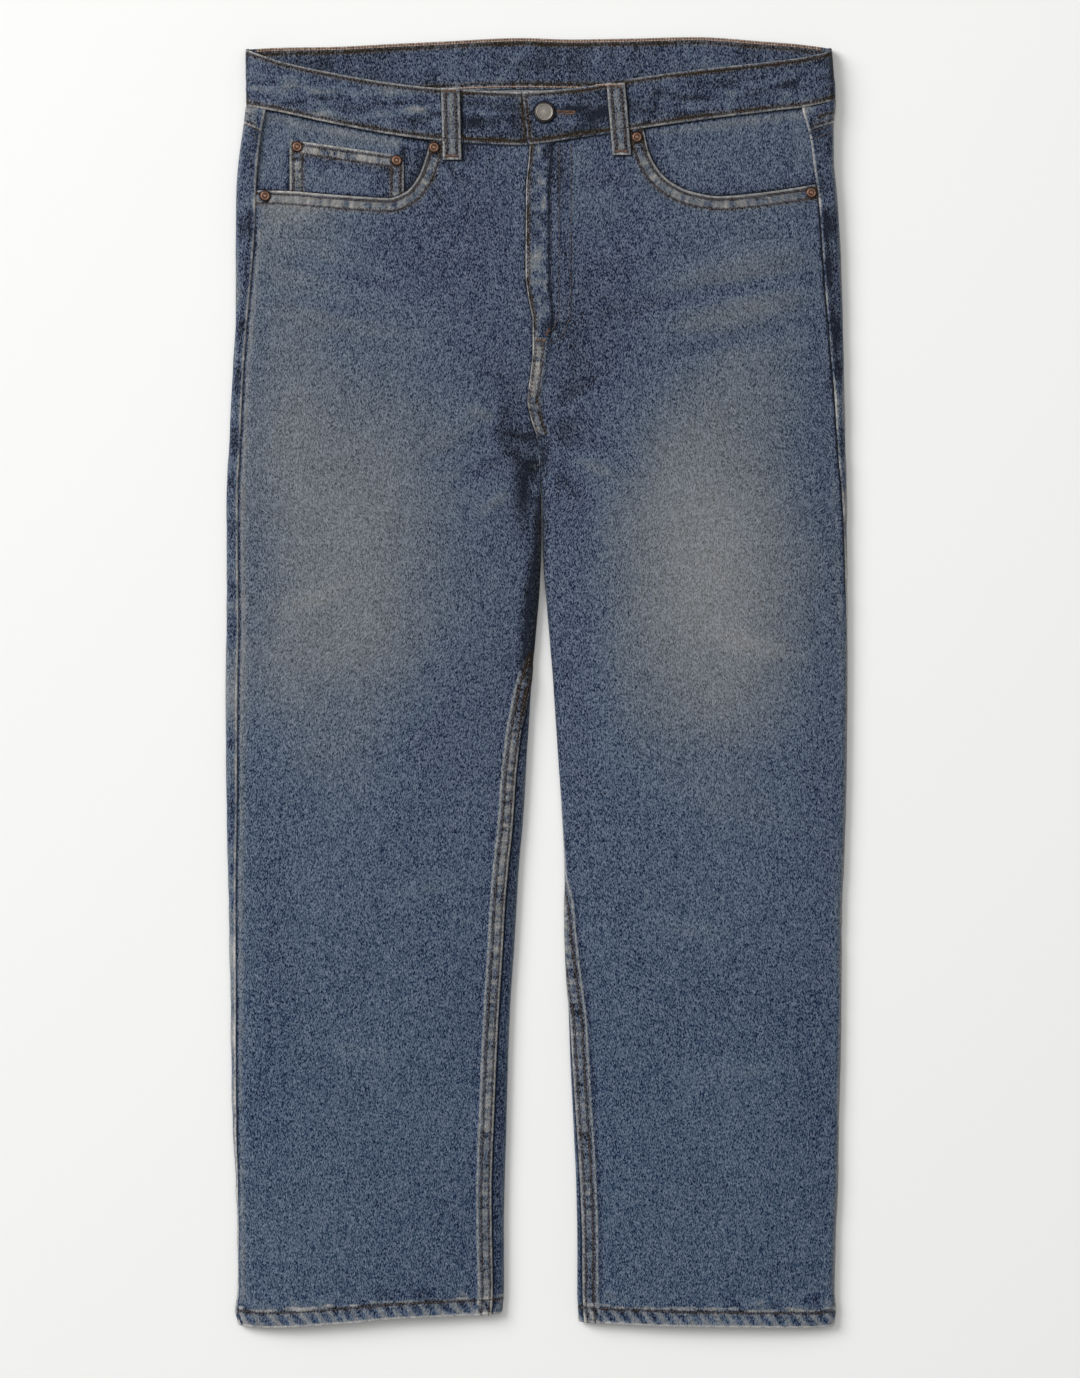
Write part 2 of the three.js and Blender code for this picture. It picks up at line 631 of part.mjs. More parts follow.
// The waistband around a side fold: turn runs from 0 on the front to 1 on the back.
const BAND_FOLD_REACH = 7;
const BAND_SIDE_Y = 505; // the middle of the waistband at its side folds
function bandFold(side, turn, t) {
  const sign = SIGN[side];
  const edge = outline("edge", BAND_SIDE_Y);
  const angle = turn * Math.PI;
  const at = (wallIn) => {
    const inwards = BAND_FOLD_REACH - (BAND_FOLD_REACH - wallIn) * Math.sin(angle);
    const x = outerX(side, BAND_SIDE_Y) - sign * inwards;
    const onFront = turn < 0.5;
    const y = mix(bandSeam(x, onFront), waist(onFront ? "frontTop" : "backTop", x), t);
    const top = topside(side, x, y) + BAND_PROUD;
    const [high, low] = [top - wallIn, wallIn];
    const z = onFront ? mix(edge / 2, high, Math.cos(angle)) : mix(edge / 2, low, -Math.cos(angle));
    return new THREE.Vector3(x, y, z);
  };
  return [at(0), at(BAND_WALL)];
}

const sideAt = (x) => (x > 0 ? "left" : "right");
function bandStations(t) {
  const underRise = (x) => -UNDER_SINK * smooth((x - UNDER_RAMP.from) / UNDER_RAMP.length);
  const overRise = (x) => OVER_RISE * smooth((OVER_RAMP.from - x) / OVER_RAMP.length);
  const tip = mix(OVER_END.seam, OVER_END.top, t);
  return [
    ...BAND_UNDER_X.map((x) => bandFront(sideAt(x), x, t, underRise(x))),
    ...FOLD_TURNS.map((turn) => bandFold("right", turn, t)),
    ...BAND_BACK_X.map((x) => bandBack(x, t)),
    ...[...FOLD_TURNS].reverse().map((turn) => bandFold("left", turn, t)),
    ...BAND_OVER_X.map((x) => bandFront(sideAt(x), x, t, overRise(x))),
    bandFront("right", tip, t, OVER_RISE),
  ];
}

function waistband() {
  const rows = BAND_ROWS.map(bandStations);
  const face = (i) => rows.map((row) => row.map((pair) => pair[i]));
  return wall(face(0), face(1));
}

const lowered = (rows, by) => rows.map((row) => row.map((p) => new THREE.Vector3(p.x, p.y, p.z - by)));

// A patch on the front: a grid between two lines, at a depth below (or above) the top.
function frontPatch(side, xs, shares, lowY, highY, outOffset, thickness) {
  const at = (x, t) => mix(lowY(x), highY(x), t);
  const point = (x, y) => new THREE.Vector3(x, y, topside(side, x, y) + outOffset);
  const outer = shares.map((t) => xs.map((x) => point(x, at(x, t))));
  return wall(outer, lowered(outer, thickness));
}

const spread = (from, to, steps) => Array.from({ length: steps + 1 }, (_, i) => mix(from, to, i / steps));

// The denim that shows inside each front pocket. It lies deeper where a coin pocket is on it.
const FACING_CURVE = 4; // how far its lower edge slants
const FACING_TUCK = 5; // how far it goes up under the waistband
const FACINGS = {
  right: { from: -237, to: -72, down: 34, depth: DENIM + LIGHT_DENIM + 2 * GAP },
  left: { from: 238, to: 72, down: 22, depth: DENIM + 0.8 },
};
function pocketFacing(side) {
  const { from, to, down, depth } = FACINGS[side];
  const lowest = Math.min(...MOUTHS[side].map((p) => p.y)) - down;
  const lowY = (x) => lowest + FACING_CURVE * Math.cos((Math.PI * (x - from)) / (to - from));
  const highY = (x) => waist("frontSeam", x) + FACING_TUCK;
  return frontPatch(side, spread(from, to, 12), spread(0, 1, 5), lowY, highY, -depth, LIGHT_DENIM);
}

const COIN = { outerX: -209, innerX: -113, outerTop: 456, innerTop: 442, bottom: 386, wall: 1.05 };
function coinPocket() {
  const share = (x) => (x - COIN.outerX) / (COIN.innerX - COIN.outerX);
  const highY = (x) => mix(COIN.outerTop, COIN.innerTop, share(x));
  const xs = spread(COIN.outerX, COIN.innerX, 6);
  return frontPatch("right", xs, spread(0, 1, 4), () => COIN.bottom, highY, -DENIM - GAP, COIN.wall);
}

// Belt loops: a folded strip across the waistband, sewn at both ends.
// It rises onto the band over a share of its length.
const LOOP = { width: 15.5, length: 60, wall: 1.5, riseFrom: 0.1, riseOver: 0.2 };
const LOOP_INSET = 1; // a back loop ends this far below the band's upper edge
const FRONT_LOOPS = {
  right: { topX: -74, bottomX: -72.5, topY: 498.5 },
  left: { topX: 66, bottomX: 71.5, topY: 502.5 },
};
const BACK_LOOPS = { centre: 0, side_right: -150, side_left: 150 };
const LOOP_ROWS = [0, 0.2, 0.36, 0.5, 0.75, 1];
function frontLoop(side) {
  const { topX, bottomX, topY } = FRONT_LOOPS[side];
  const outer = LOOP_ROWS.map((t) => [-0.5, 0, 0.5].map((u) => {
    const x = mix(bottomX, topX, t) + u * LOOP.width;
    const y = topY - LOOP.length * (1 - t);
    const stands = mix(GAP, BAND_PROUD + GAP, smooth((t - LOOP.riseFrom) / LOOP.riseOver));
    return new THREE.Vector3(x, y, topside(side, x, y) + stands + LOOP.wall);
  }));
  return wall(outer, lowered(outer, LOOP.wall));
}

// A patch that lies on the surface, under the back.
function flatPatch(rows, thickness) {
  const upper = rows.map((row) => row.map(([x, y]) => new THREE.Vector3(x, y, thickness)));
  return wall(upper, lowered(upper, thickness));
}

function backLoop(x) {
  const top = waist("backTop", x) - LOOP_INSET;
  return flatPatch(
    spread(0, 1, 2).map((t) => [-0.5, 0.5].map((u) => [x + u * LOOP.width, top - LOOP.length * t])),
    LOOP.wall,
  );
}

// Back pockets: patches with a pointed lower edge.
const BACK_POCKET = {
  centreX: 116,
  topY: 418,
  slant: 5,
  width: 156,
  lowWidth: 132,
  height: 150,
  point: 18,
};
function backPocket(side) {
  const sign = SIGN[side];
  const across = spread(-1, 1, 6);
  return flatPatch(
    spread(0, 1, 4).map((t) => across.map((u) => {
      const width = mix(BACK_POCKET.width, BACK_POCKET.lowWidth, t);
      const top = BACK_POCKET.topY + BACK_POCKET.slant * u;
      const bottom = BACK_POCKET.topY - BACK_POCKET.height - BACK_POCKET.point * (1 - Math.abs(u));
      return [sign * (BACK_POCKET.centreX + (u * width) / 2), mix(top, bottom, t)];
    })),
    DENIM,
  );
}

// Metal: a shank button through the buttonhole, and domed rivets at the pocket corners.
const BUTTON = { x: 5, y: 478, radius: 8.4, height: 3, rim: 0.8, shankRadius: 1.4, dish: 0.3 };
const BUTTONHOLE = { length: 24, width: 3.4, past: 0.3, below: 0.05 };
const RIVET = { radius: 4.6, height: 1.1, edge: 0.3, shoulder: 0.8, nub: 0.3, hollow: 0.45 };
const TURNED_SIDES = 24;
const RIVETS = named(
  ["name", "side", "x", "y", "below"],
  [
    ["rivet_pocket_right_inner", "right", -87.6, 449, 0],
    ["rivet_pocket_right_outer", "right", -229.5, 408.8, 0],
    ["rivet_pocket_left_inner", "left", 82.5, 457.6, 0],
    ["rivet_pocket_left_outer", "left", 229, 411.5, 0],
    ["rivet_coin_outer", "right", -202.5, 450, DENIM + GAP],
    ["rivet_coin_inner", "right", -119, 438.3, DENIM + GAP],
  ],
);

function turned(profile) {
  const points = profile.map(([r, z]) => new THREE.Vector2(r, z));
  const geometry = new THREE.LatheGeometry(points, TURNED_SIDES).rotateX(Math.PI / 2);
  geometry.deleteAttribute("normal");
  geometry.deleteAttribute("uv");
  const merged = mergeVertices(geometry, 1e-4);
  const position = merged.getAttribute("position");
  const vertices = spread(0, position.count - 1, position.count - 1).map((i) =>
    new THREE.Vector3().fromBufferAttribute(position, Math.round(i)),
  );
  return facingOut(vertices, [...merged.index.array]);
}

function buttonGeometry(shankLength) {
  const { radius, height, rim, shankRadius, dish } = BUTTON;
  const top = shankLength + height;
  return turned([
    [0, 0],
    [shankRadius, 0],
    [shankRadius, shankLength],
    [radius - rim, shankLength],
    [radius, shankLength + rim],
    [radius, top - rim],
    [radius - rim, top],
    [radius - 2 * rim, top - dish],
    [0, top - dish / 3],
  ]);
}

function rivetGeometry() {
  const { radius, height, edge, shoulder, nub, hollow } = RIVET;
  return turned([
    [0, 0],
    [radius - edge, 0],
    [radius, edge],
    [radius - 2 * edge, shoulder],
    [radius * hollow, shoulder],
    [radius * nub, height],
    [0, height],
  ]);
}

// Cutting the buttonhole through the over end of the waistband.
const wasm = await Module();
wasm.setup();
function asSolid(geometry) {
  const bare = geometry.clone();
  bare.deleteAttribute("normal");
  bare.deleteAttribute("uv");
  const merged = mergeVertices(bare, 1e-4);
  return new wasm.Manifold(new wasm.Mesh({
    numProp: 3,
    vertProperties: merged.getAttribute("position").array,
    triVerts: new Uint32Array(merged.index.array),
  }));
}
function fromSolid(solid) {
  const { vertProperties, triVerts } = solid.getMesh();
  const geometry = new THREE.BufferGeometry();
  geometry.setAttribute("position", new THREE.BufferAttribute(new Float32Array(vertProperties), 3));
  geometry.setIndex(new THREE.BufferAttribute(new Uint32Array(triVerts), 1));
  return geometry;
}
function withButtonhole(band) {
  const { length, width, past, below } = BUTTONHOLE;
  const overTop = topside("left", BUTTON.x, BUTTON.y) + BAND_PROUD + OVER_RISE;
  const cutter = new THREE.BoxGeometry(length, width, BAND_WALL + past + below);
  const fromButton = (length - width) / 2;
  cutter.translate(BUTTON.x + fromButton, BUTTON.y, overTop - (BAND_WALL + below - past) / 2);
  return fromSolid(asSolid(band).subtract(asSolid(cutter)));
}

const denim = new THREE.MeshStandardMaterial({ color: "#4c586a", roughness: 0.95 });
const darkDenim = new THREE.MeshStandardMaterial({ color: "#3c475a", roughness: 0.95 });
const copper = new THREE.MeshStandardMaterial({ color: "#9a5f3c", roughness: 0.4, metalness: 1 });
const steel = new THREE.MeshStandardMaterial({ color: "#a39f98", roughness: 0.45, metalness: 1 });

const jeans = new THREE.Group();
jeans.name = "straight_leg_jeans";
function add(name, geometry, material) {
  const mesh = new THREE.Mesh(geometry, material);
  mesh.name = name;
  jeans.add(mesh);
  return mesh;
}

for (const side of ["right", "left"]) {
  add(`front_${side}`, frontPanel(side), denim);
  add(`back_${side}`, backPanel(side), denim);
  add(`yoke_${side}`, yoke(side), denim);
  add(`pocket_facing_${side}`, pocketFacing(side), denim);
  add(`back_pocket_${side}`, backPocket(side), denim);
  add(`belt_loop_front_${side}`, frontLoop(side), darkDenim);
}
add("coin_pocket", coinPocket(), denim);
add("waistband", withButtonhole(waistband()), darkDenim);
for (const [name, x] of Object.entries(BACK_LOOPS)) {
  add(`belt_loop_back_${name}`, backLoop(x), darkDenim);
}

const underTop = topside("left", BUTTON.x, BUTTON.y) + BAND_PROUD - UNDER_SINK + GAP;
const overTop = topside("left", BUTTON.x, BUTTON.y) + BAND_PROUD + OVER_RISE + GAP;
add("button", buttonGeometry(overTop - underTop), steel).position.set(BUTTON.x, BUTTON.y, underTop);
for (const { name, side, x, y, below } of RIVETS) {
  add(name, rivetGeometry(), copper).position.set(x, y, topside(side, x, y) - below + GAP);
}

export default jeans;
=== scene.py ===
"""Straight leg denim jeans, laid flat on their back: cloth, sewing, metal and studio."""

import math

import bpy
import numpy as np
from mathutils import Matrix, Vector
from mathutils.bvhtree import BVHTree


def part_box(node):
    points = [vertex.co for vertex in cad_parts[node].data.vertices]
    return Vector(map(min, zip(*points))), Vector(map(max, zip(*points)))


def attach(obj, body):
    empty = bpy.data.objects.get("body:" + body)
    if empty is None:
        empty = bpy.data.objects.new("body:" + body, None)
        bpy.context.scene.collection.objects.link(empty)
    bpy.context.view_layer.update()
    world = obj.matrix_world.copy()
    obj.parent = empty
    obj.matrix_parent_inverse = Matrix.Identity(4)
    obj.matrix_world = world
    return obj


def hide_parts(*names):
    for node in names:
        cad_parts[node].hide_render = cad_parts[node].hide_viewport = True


bl_info = {
    "name": "Straight Leg Jeans",
    "version": (1, 0, 0),
    "blender": (4, 5, 0),
    "location": "3D View > Sidebar > Jeans",
    "description": "Makes the cloth, sewing and metal of denim jeans that lie flat",
    "category": "Add Mesh",
}

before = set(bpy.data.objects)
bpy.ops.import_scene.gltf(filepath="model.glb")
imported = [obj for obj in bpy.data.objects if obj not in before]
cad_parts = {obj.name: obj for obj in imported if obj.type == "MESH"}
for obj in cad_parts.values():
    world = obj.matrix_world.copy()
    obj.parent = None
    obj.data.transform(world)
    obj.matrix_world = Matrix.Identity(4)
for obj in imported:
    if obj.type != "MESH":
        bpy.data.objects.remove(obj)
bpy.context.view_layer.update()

MM = 0.001
SIGN = {"right": -1, "left": 1}


# Numbers
def named(columns, rows):
    """A table as one array for each named column."""
    return dict(zip(columns, np.array(rows, float).T))


def smooth(t):
    t = np.clip(t, 0, 1)
    return t * t * (3 - 2 * t)


def mix(a, b, t):
    return a + (b - a) * t


def ridge(distance, centre, width):
    """1 on a line, falling to 0 over this width to each side of it."""
    return np.exp(-(((distance - centre) / width) ** 2))


def look_up(table, key, column, value):
    """A smooth line through a column of a table, with no overshoot between its rows."""
    xs, ys = table[key], table[column]
    if xs[0] > xs[-1]:
        xs, ys = xs[::-1], ys[::-1]
    value = np.clip(value, xs[0], xs[-1])
    i = np.clip(np.searchsorted(xs, value) - 1, 0, len(xs) - 2)
    rise = np.diff(ys) / np.diff(xs)
    slope = np.concatenate([rise[:1], np.zeros(len(xs) - 2), rise[-1:]])
    a, b = rise[:-1], rise[1:]
    same_way = a * b > 0
    slope[1:-1][same_way] = 2 * a[same_way] * b[same_way] / (a + b)[same_way]
    span = xs[i + 1] - xs[i]
    t = (value - xs[i]) / span
    return (
        (2 * t**3 - 3 * t**2 + 1) * ys[i]
        + (t**3 - 2 * t**2 + t) * slope[i] * span
        + (-2 * t**3 + 3 * t**2) * ys[i + 1]
        + (t**3 - t**2) * slope[i + 1] * span
    )


def cloud(x, y, size_x, size_y, seed):
    """Smooth noise from -1 to 1, in blots of these sizes in millimetres."""
    lattice = np.random.default_rng(seed).uniform(-1, 1, (64, 64))
    u, v = x / size_x, y / size_y
    i, j = np.floor(u).astype(int), np.floor(v).astype(int)
    fu, fv = smooth(u - i), smooth(v - j)
    low = mix(lattice[i % 64, j % 64], lattice[(i + 1) % 64, j % 64], fu)
    high = mix(lattice[i % 64, (j + 1) % 64], lattice[(i + 1) % 64, (j + 1) % 64], fu)
    return mix(low, high, fv)


# The garment's sizes, in millimetres. X is across, Y towards the waist and Z up.
WALL = 1.0  # a layer of denim
HEM_WALL = 2.2
BAND_WALL = 2.2
LAYER = 1.4  # rise of a lapped edge over the cloth below it
GAP = 0.3
INSEAM_LAP = 12
LAP_RAMP = 4
CROTCH_Y = 186
VALLEY_TOP_Y = 275
ROUND_TOP = 7
OUTER_ROUND = 5
INNER_ROUND = 6
BAND_PROUD = 0.7
HEM_TOP_Y = -528
IN_HEM_Y = -535
PATCH_RISE = 1.8  # the seat lies this far up, over its pockets
INSIDE_TONE = 0.5  # the weft side is paler
FELL_SHOWS = {"right": 30, "left": -165}  # above this the felled inseam has turned under
FELL_TOP_Y = 175  # the inseam is felled below this
BACK_FELL_TOP_Y = 168
FLY_FOOT_Y = 207
BAND_HEIGHT = 42
FAR = 99.0  # for a row or an edge that isn't there

# Rows of topstitching, by their distance from a folded edge
FELL_ROWS = (2.4, 8.6)
MOUTH_ROWS = (3.1, 10.8)
COIN_ROWS = (3.2, 10.2)
HEM_ROW = 12.6
BAND_ROW = 2.4
LOOP_ROW = 3.7
SEW_STEP = 1.6  # between the points where a line is laid on the cloth
LIFT_ON_TOP = 0.12
LIFT_BELOW = -0.3  # sunk in, clear of the floor

OUTLINE = named(
    ["y", "right_outer", "left_outer", "right_inner", "left_inner", "edge", "crown"],
    [
        [-542, 252.3, 248.3, -31, 34, 8, 5],
        [-528, 255.5, 250.4, -30.3, 32.9, 8, 5],
        [-510, 253.2, 249, -29, 32.3, 8, 5],
        [-468, 253.4, 250, -29, 32.3, 8, 5],
        [-417, 254.9, 252.1, -28.1, 31.3, 8, 5.2],
        [-367, 257.6, 252.8, -26.9, 29, 8, 5.4],
        [-317, 258.8, 254.1, -25.6, 26.5, 8, 5.6],
        [-266, 259.3, 254.9, -23.5, 24.8, 8, 5.8],
        [-224, 260.1, 254.9, -20.6, 23.3, 8, 6],
        [-191, 260.8, 255.1, -18.8, 22.3, 8, 6],
        [-157, 261.6, 256.7, -16.8, 21.8, 8.2, 6],
        [-115, 262.5, 258.2, -13, 19.8, 8.2, 6],
        [-65, 263.1, 259.1, -9.9, 16.4, 8.4, 6],
        [0, 263.3, 259.7, -6, 11.9, 8.5, 6],
        [49, 262.6, 259.9, -1.4, 8, 8.6, 6],
        [83, 262.5, 259.7, 1.3, 4.9, 8.7, 6],
        [110, 262.6, 259.5, 2.4, 3.2, 8.8, 6],
        [130, 262.7, 259.4, 2.6, 2.8, 8.8, 5.5],
        [162, 262.5, 259.1, 2.4, 2.6, 8.9, 5],
        [186, 261.3, 258.6, 1.6, 1.8, 9, 5],
        [212, 259.9, 257.9, 0.9, 1.7, 9.2, 5],
        [263, 257.4, 256.8, 0.9, 1.7, 9.6, 5.5],
        [313, 254.9, 255.7, 0.9, 1.7, 10, 6],
        [364, 254.9, 254, 0.9, 1.7, 10.6, 6],
        [414, 254.3, 250.7, 0.9, 1.7, 11.4, 5.5],
        [439, 252.4, 248.3, 0.9, 1.7, 12, 5],
        [464, 249, 248.1, 0.9, 1.7, 12.6, 4.8],
        [493, 246, 250.2, 0.9, 1.7, 13.4, 4.5],
        [518, 246.8, 248.7, 0.9, 1.7, 14, 4],
        [542, 246.3, 244.6, 0.9, 1.7, 14, 4],
    ],
)
# Lengths of cloth from a side fold to its seam, over the top; below zero it is underneath.
OUTSEAMS = named(
    ["y", "right", "left"],
    [
        [-542, 5, 2],
        [-510, 3, 1],
        [-468, 3, 0],
        [-417, 4, 0],
        [-350, 6, 0],
        [-266, 7, 0.3],
        [-174, 8.7, 0.8],
        [-98, 11.4, 0.8],
        [-40, 12, 1.4],
        [36, 12.6, 2.6],
        [76, 12.2, 3.8],
        [123, 12, 5],
        [158, 12, 6.6],
        [194, 11.9, 9],
        [241, 11.6, 10.8],
        [293, 12, 14.4],
        [354, 16.8, 17.6],
        [389, 18.8, 18.2],
        [415, 19, 18.8],
        [449, 18.7, 21.2],
        [464, 18.6, 24],
        [486, 20, 31],
        [542, 20, 31],
    ],
)
INSEAMS = named(
    ["y", "right", "left"],
    [
        [-542, 10, 6.3],
        [-510, 10.6, 6.1],
        [-468, 11.3, 5.9],
        [-417, 12.5, 5.2],
        [-350, 11.6, 4.4],
        [-290, 10.8, 3.6],
        [-250, 10.6, 0.2],
        [-216, 10.9, -2.5],
        [-182, 10.8, -5],
        [-160, 10.2, -9.5],
        [-132, 9.7, -11],
        [-88, 9.6, -11.5],
        [-45, 7.5, -12],
        [-28, 5.5, -12],
        [-4, 2.2, -12],
        [19, -3, -12],
        [36, -9, -12],
        [70, -13, -12],
        [130, -13, -12],
        [158, -1, -1],
        [166, 0, 0],
    ],
)
FRONT_LAP = named(
    ["y", "edge", "width"],
    [
        [186, 1.3, 0.1],
        [205, -0.6, 0.1],
        [215, -4.2, 5],
        [238, -9.2, 9.5],
        [259, -6.7, 10.5],
        [280, -4.6, 11.5],
        [303, -4.6, 14.5],
        [322, -8, 17],
        [343, -10.5, 18],
        [414, -10.1, 17.5],
        [453, -7.1, 16.8],
        [542, -7.1, 16.8],
    ],
)
WAIST = named(
    ["x", "front_top", "front_seam", "back_top", "back_seam"],
    [
        [-247, 532.5, 484.2, 533.1, 485],
        [-226, 524, 480.8, 534.5, 487],
        [-178, 512.5, 470.3, 535.1, 491],
        [-120, 502.5, 459.3, 537.9, 495.5],
        [-82, 498.5, 454.6, 539.7, 497.8],
        [-14, 495.5, 451.1, 542.7, 499.8],
        [26, 498, 455.8, 541.5, 499.3],
        [74, 506, 463.1, 542.2, 499],
        [132, 514, 471.6, 543.5, 499.3],
        [190, 520.5, 479, 539.7, 496.5],
        [232, 526.5, 484.5, 536.2, 492.5],
        [250, 532.5, 489.7, 533.1, 490.5],
    ],
)
HEM = named(
    ["share", "right", "left"],
    [
        [0, -530, -537],
        [0.2, -532, -539],
        [0.4, -534, -540.5],
        [0.6, -538, -541],
        [0.9, -541.8, -541.8],
        [1, -540, -540.5],
    ],
)
MOUTHS = {
    "right": named(
        ["x", "y"],
        [
            [-235, 413.6],
            [-210, 412.8],
            [-180, 410.2],
            [-149, 407.8],
            [-126, 406.6],
            [-111, 412],
            [-100, 426],
            [-93, 446],
            [-89, 462],
        ],
    ),
    "left": named(
        ["x", "y"],
        [
            [235, 419],
            [209, 414.5],
            [180, 410.5],
            [151, 408.2],
            [128, 412],
            [111, 420],
            [99, 432],
            [91, 449],
            [87.5, 467],
        ],
    ),
}
FACINGS = {
    "right": {"outer": -237, "inner": -72, "down": 34, "depth": 2.9},
    "left": {"outer": 238, "inner": 72, "down": 22, "depth": 1.7},
}
COIN = {"outer": -209, "inner": -113, "outer_top": 456, "inner_top": 442, "bottom": 386}
YOKE_SEAM = {"outseam": 463, "fold": 471, "centre": 432}
LOOP = {"width": 15.5, "length": 60, "wall": 1.3}
FRONT_LOOPS = {
    "right": {"top_x": -74, "bottom_x": -72.5, "top_y": 498.5},
    "left": {"top_x": 64.5, "bottom_x": 69.8, "top_y": 502.5},
}
BACK_LOOPS = {"centre": 0, "side_right": -150, "side_left": 150}
BACK_POCKET = {
    "centre": 116, "top": 418, "slant": 5, "width": 156, "low_width": 132, "height": 150, "point": 18,
}
UNDER_END_X = 28
OVER_END = {"top": -14, "seam": -9}
BUTTON = {"x": 5, "y": 478, "radius": 8.4, "height": 3.0}

# The largest folds, the same in the solids
FOLDS = named(
    ["x0", "y0", "x1", "y1", "height", "width"],
    [
        [-27, 214, 3, 204, -2, 6],
        [-27, 216, -14, 186, -1.6, 6],
        [-9, 180, 6, 189, -1.4, 6],
        [-16, 178, -8, 120, -1.8, 7],
        [52, 330, 234, 364, 1.4, 9],
        [60, 312, 236, 346, -1.2, 8],
        [70, 298, 232, 332, 1.2, 9],
        [90, 272, 226, 300, -1, 9],
        [-232, 330, -90, 306, 1.2, 10],
        [-222, 352, -70, 316, -1, 9],
        [-95, 200, -22, 236, 1, 9],
        [-110, 176, -34, 205, -1, 9],
        [20, 214, 96, 178, -1, 10],
        [-225, -70, -120, -40, 0.9, 14],
        [110, -90, 235, -120, 0.9, 14],
    ],
)
# Where the right inner thigh starts to turn down, and shade is painted on it
INNER_SHADE = named(
    ["y", "x"],
    [[-60, -17], [-31, -15.5], [2, -13], [36, -11.8], [70, -10.5], [103, -5], [128, -1], [150, 2]],
)
# Smaller creases that cloth this thin takes, on the front
CREASES = named(
    ["x0", "y0", "x1", "y1", "height", "width"],
    [
        [-86, 442, -66, 412, 0.5, 2.6],
        [-80, 436, -50, 414, -0.45, 3],
        [-90, 428, -78, 398, -0.4, 3],
        [76, 440, 92, 408, 0.4, 3],
        [-80, -506, -46, -522, 0.5, 2.2],
        [-88, -512, -60, -524, -0.4, 2.4],
        [54, -510, 76, -524, 0.5, 2.2],
        [60, -502, 86, -520, -0.4, 2.4],
        [172, -524, 206, -514, 0.5, 2.2],
        [186, -526, 244, -512, -0.4, 2.4],
        [206, -520, 246, -502, 0.4, 2.6],
        [-236, -516, -200, -526, 0.4, 2.4],
        [-30, 220, -64, 232, 0.6, 5],
        [-24, 192, -66, 170, -0.7, 5],
        [-20, 166, -52, 140, 0.6, 5],
        [12, 196, 60, 176, 0.7, 5],
        [14, 176, 48, 148, -0.6, 5],
        [10, 222, 44, 240, 0.6, 5],
        [12, 232, 60, 262, -0.5, 6],
        [-14, 240, -46, 268, -0.5, 6],
        [-210, 60, -160, 84, 0.5, 9],
        [150, 40, 220, 22, 0.5, 9],
        [-130, -180, -60, -165, 0.4, 8],
        [90, -200, 170, -215, 0.4, 9],
        [-200, -300, -120, -312, 0.35, 9],
        [120, -330, 210, -322, 0.35, 9],
    ],
)
# Where the dye has faded (above zero), and where it stayed dark or shade is painted beside the loops and the
# fly and in the crotch (below zero), on top of the plain cloth's tone
PLAIN_TONE = 0.335
FADES_AND_SHADE = named(
    ["x", "y", "across", "along", "tone"],
    [
        [-160, 85, 75, 165, 0.19],
        [-205, 262, 48, 110, 0.1],
        [-225, 370, 22, 40, 0.05],
        [-205, 408, 48, 24, 0.12],
        [-195, 392, 60, 30, 0.05],
        [-105, 380, 40, 45, -0.05],
        [-150, 335, 50, 14, -0.05],
        [-180, 275, 40, 50, -0.05],
        [-60, 190, 34, 45, 0.06],
        [90, 150, 90, 70, 0.035],
        [-215, 190, 30, 90, 0.03],
        [142, 75, 80, 150, 0.235],
        [175, 330, 60, 90, 0.05],
        [150, 240, 60, 50, 0.03],
        [28, 270, 15, 75, -0.09],
        [62, 330, 26, 60, -0.05],
        [28, 400, 7, 34, 0.07],
        [-62, 458, 12, 24, -0.15],
        [55, 422, 24, 8, -0.08],
        [-2, 268, 8, 38, 0.1],
        [14, 298, 16, 8, -0.1],
        [240, 320, 14, 90, -0.04],
        [-150, -30, 60, 40, -0.04],
        [40, 10, 30, 60, -0.03],
        [50, 400, 20, 30, 0.05],
        [-50, 400, 40, 60, -0.04],
        [-58, 300, 34, 60, -0.03],
        [66, 300, 34, 110, -0.05],
        [-42, 190, 22, 60, -0.04],
        [30, 150, 20, 90, -0.06],
        [-224, -240, 16, 130, -0.03],
        [-200, -470, 50, 70, 0.03],
        [-250, -20, 9, 280, 0.04],
        [18, 434, 8, 26, -0.2],
        [24, 372, 12, 40, -0.05],
        [1, 358, 7, 22, 0.12],
        [-6, 205, 26, 26, -0.07],
        [-28, 230, 12, 10, -0.05],
        [18, 214, 12, 14, -0.06],
        [-9, 244, 4, 14, 0.1],
        [-6, 172, 12, 16, -0.07],
        [-62, 456, 9, 10, -0.1],
        [34, 438, 12, 14, 0.06],
        [-246, 366, 8, 18, -0.12],
        [250, 308, 6, 22, 0.1],
        [248, 252, 6, 14, -0.1],
        [-92, -50, 40, 70, -0.03],
        [-215, 30, 26, 70, 0.04],
    ],
)
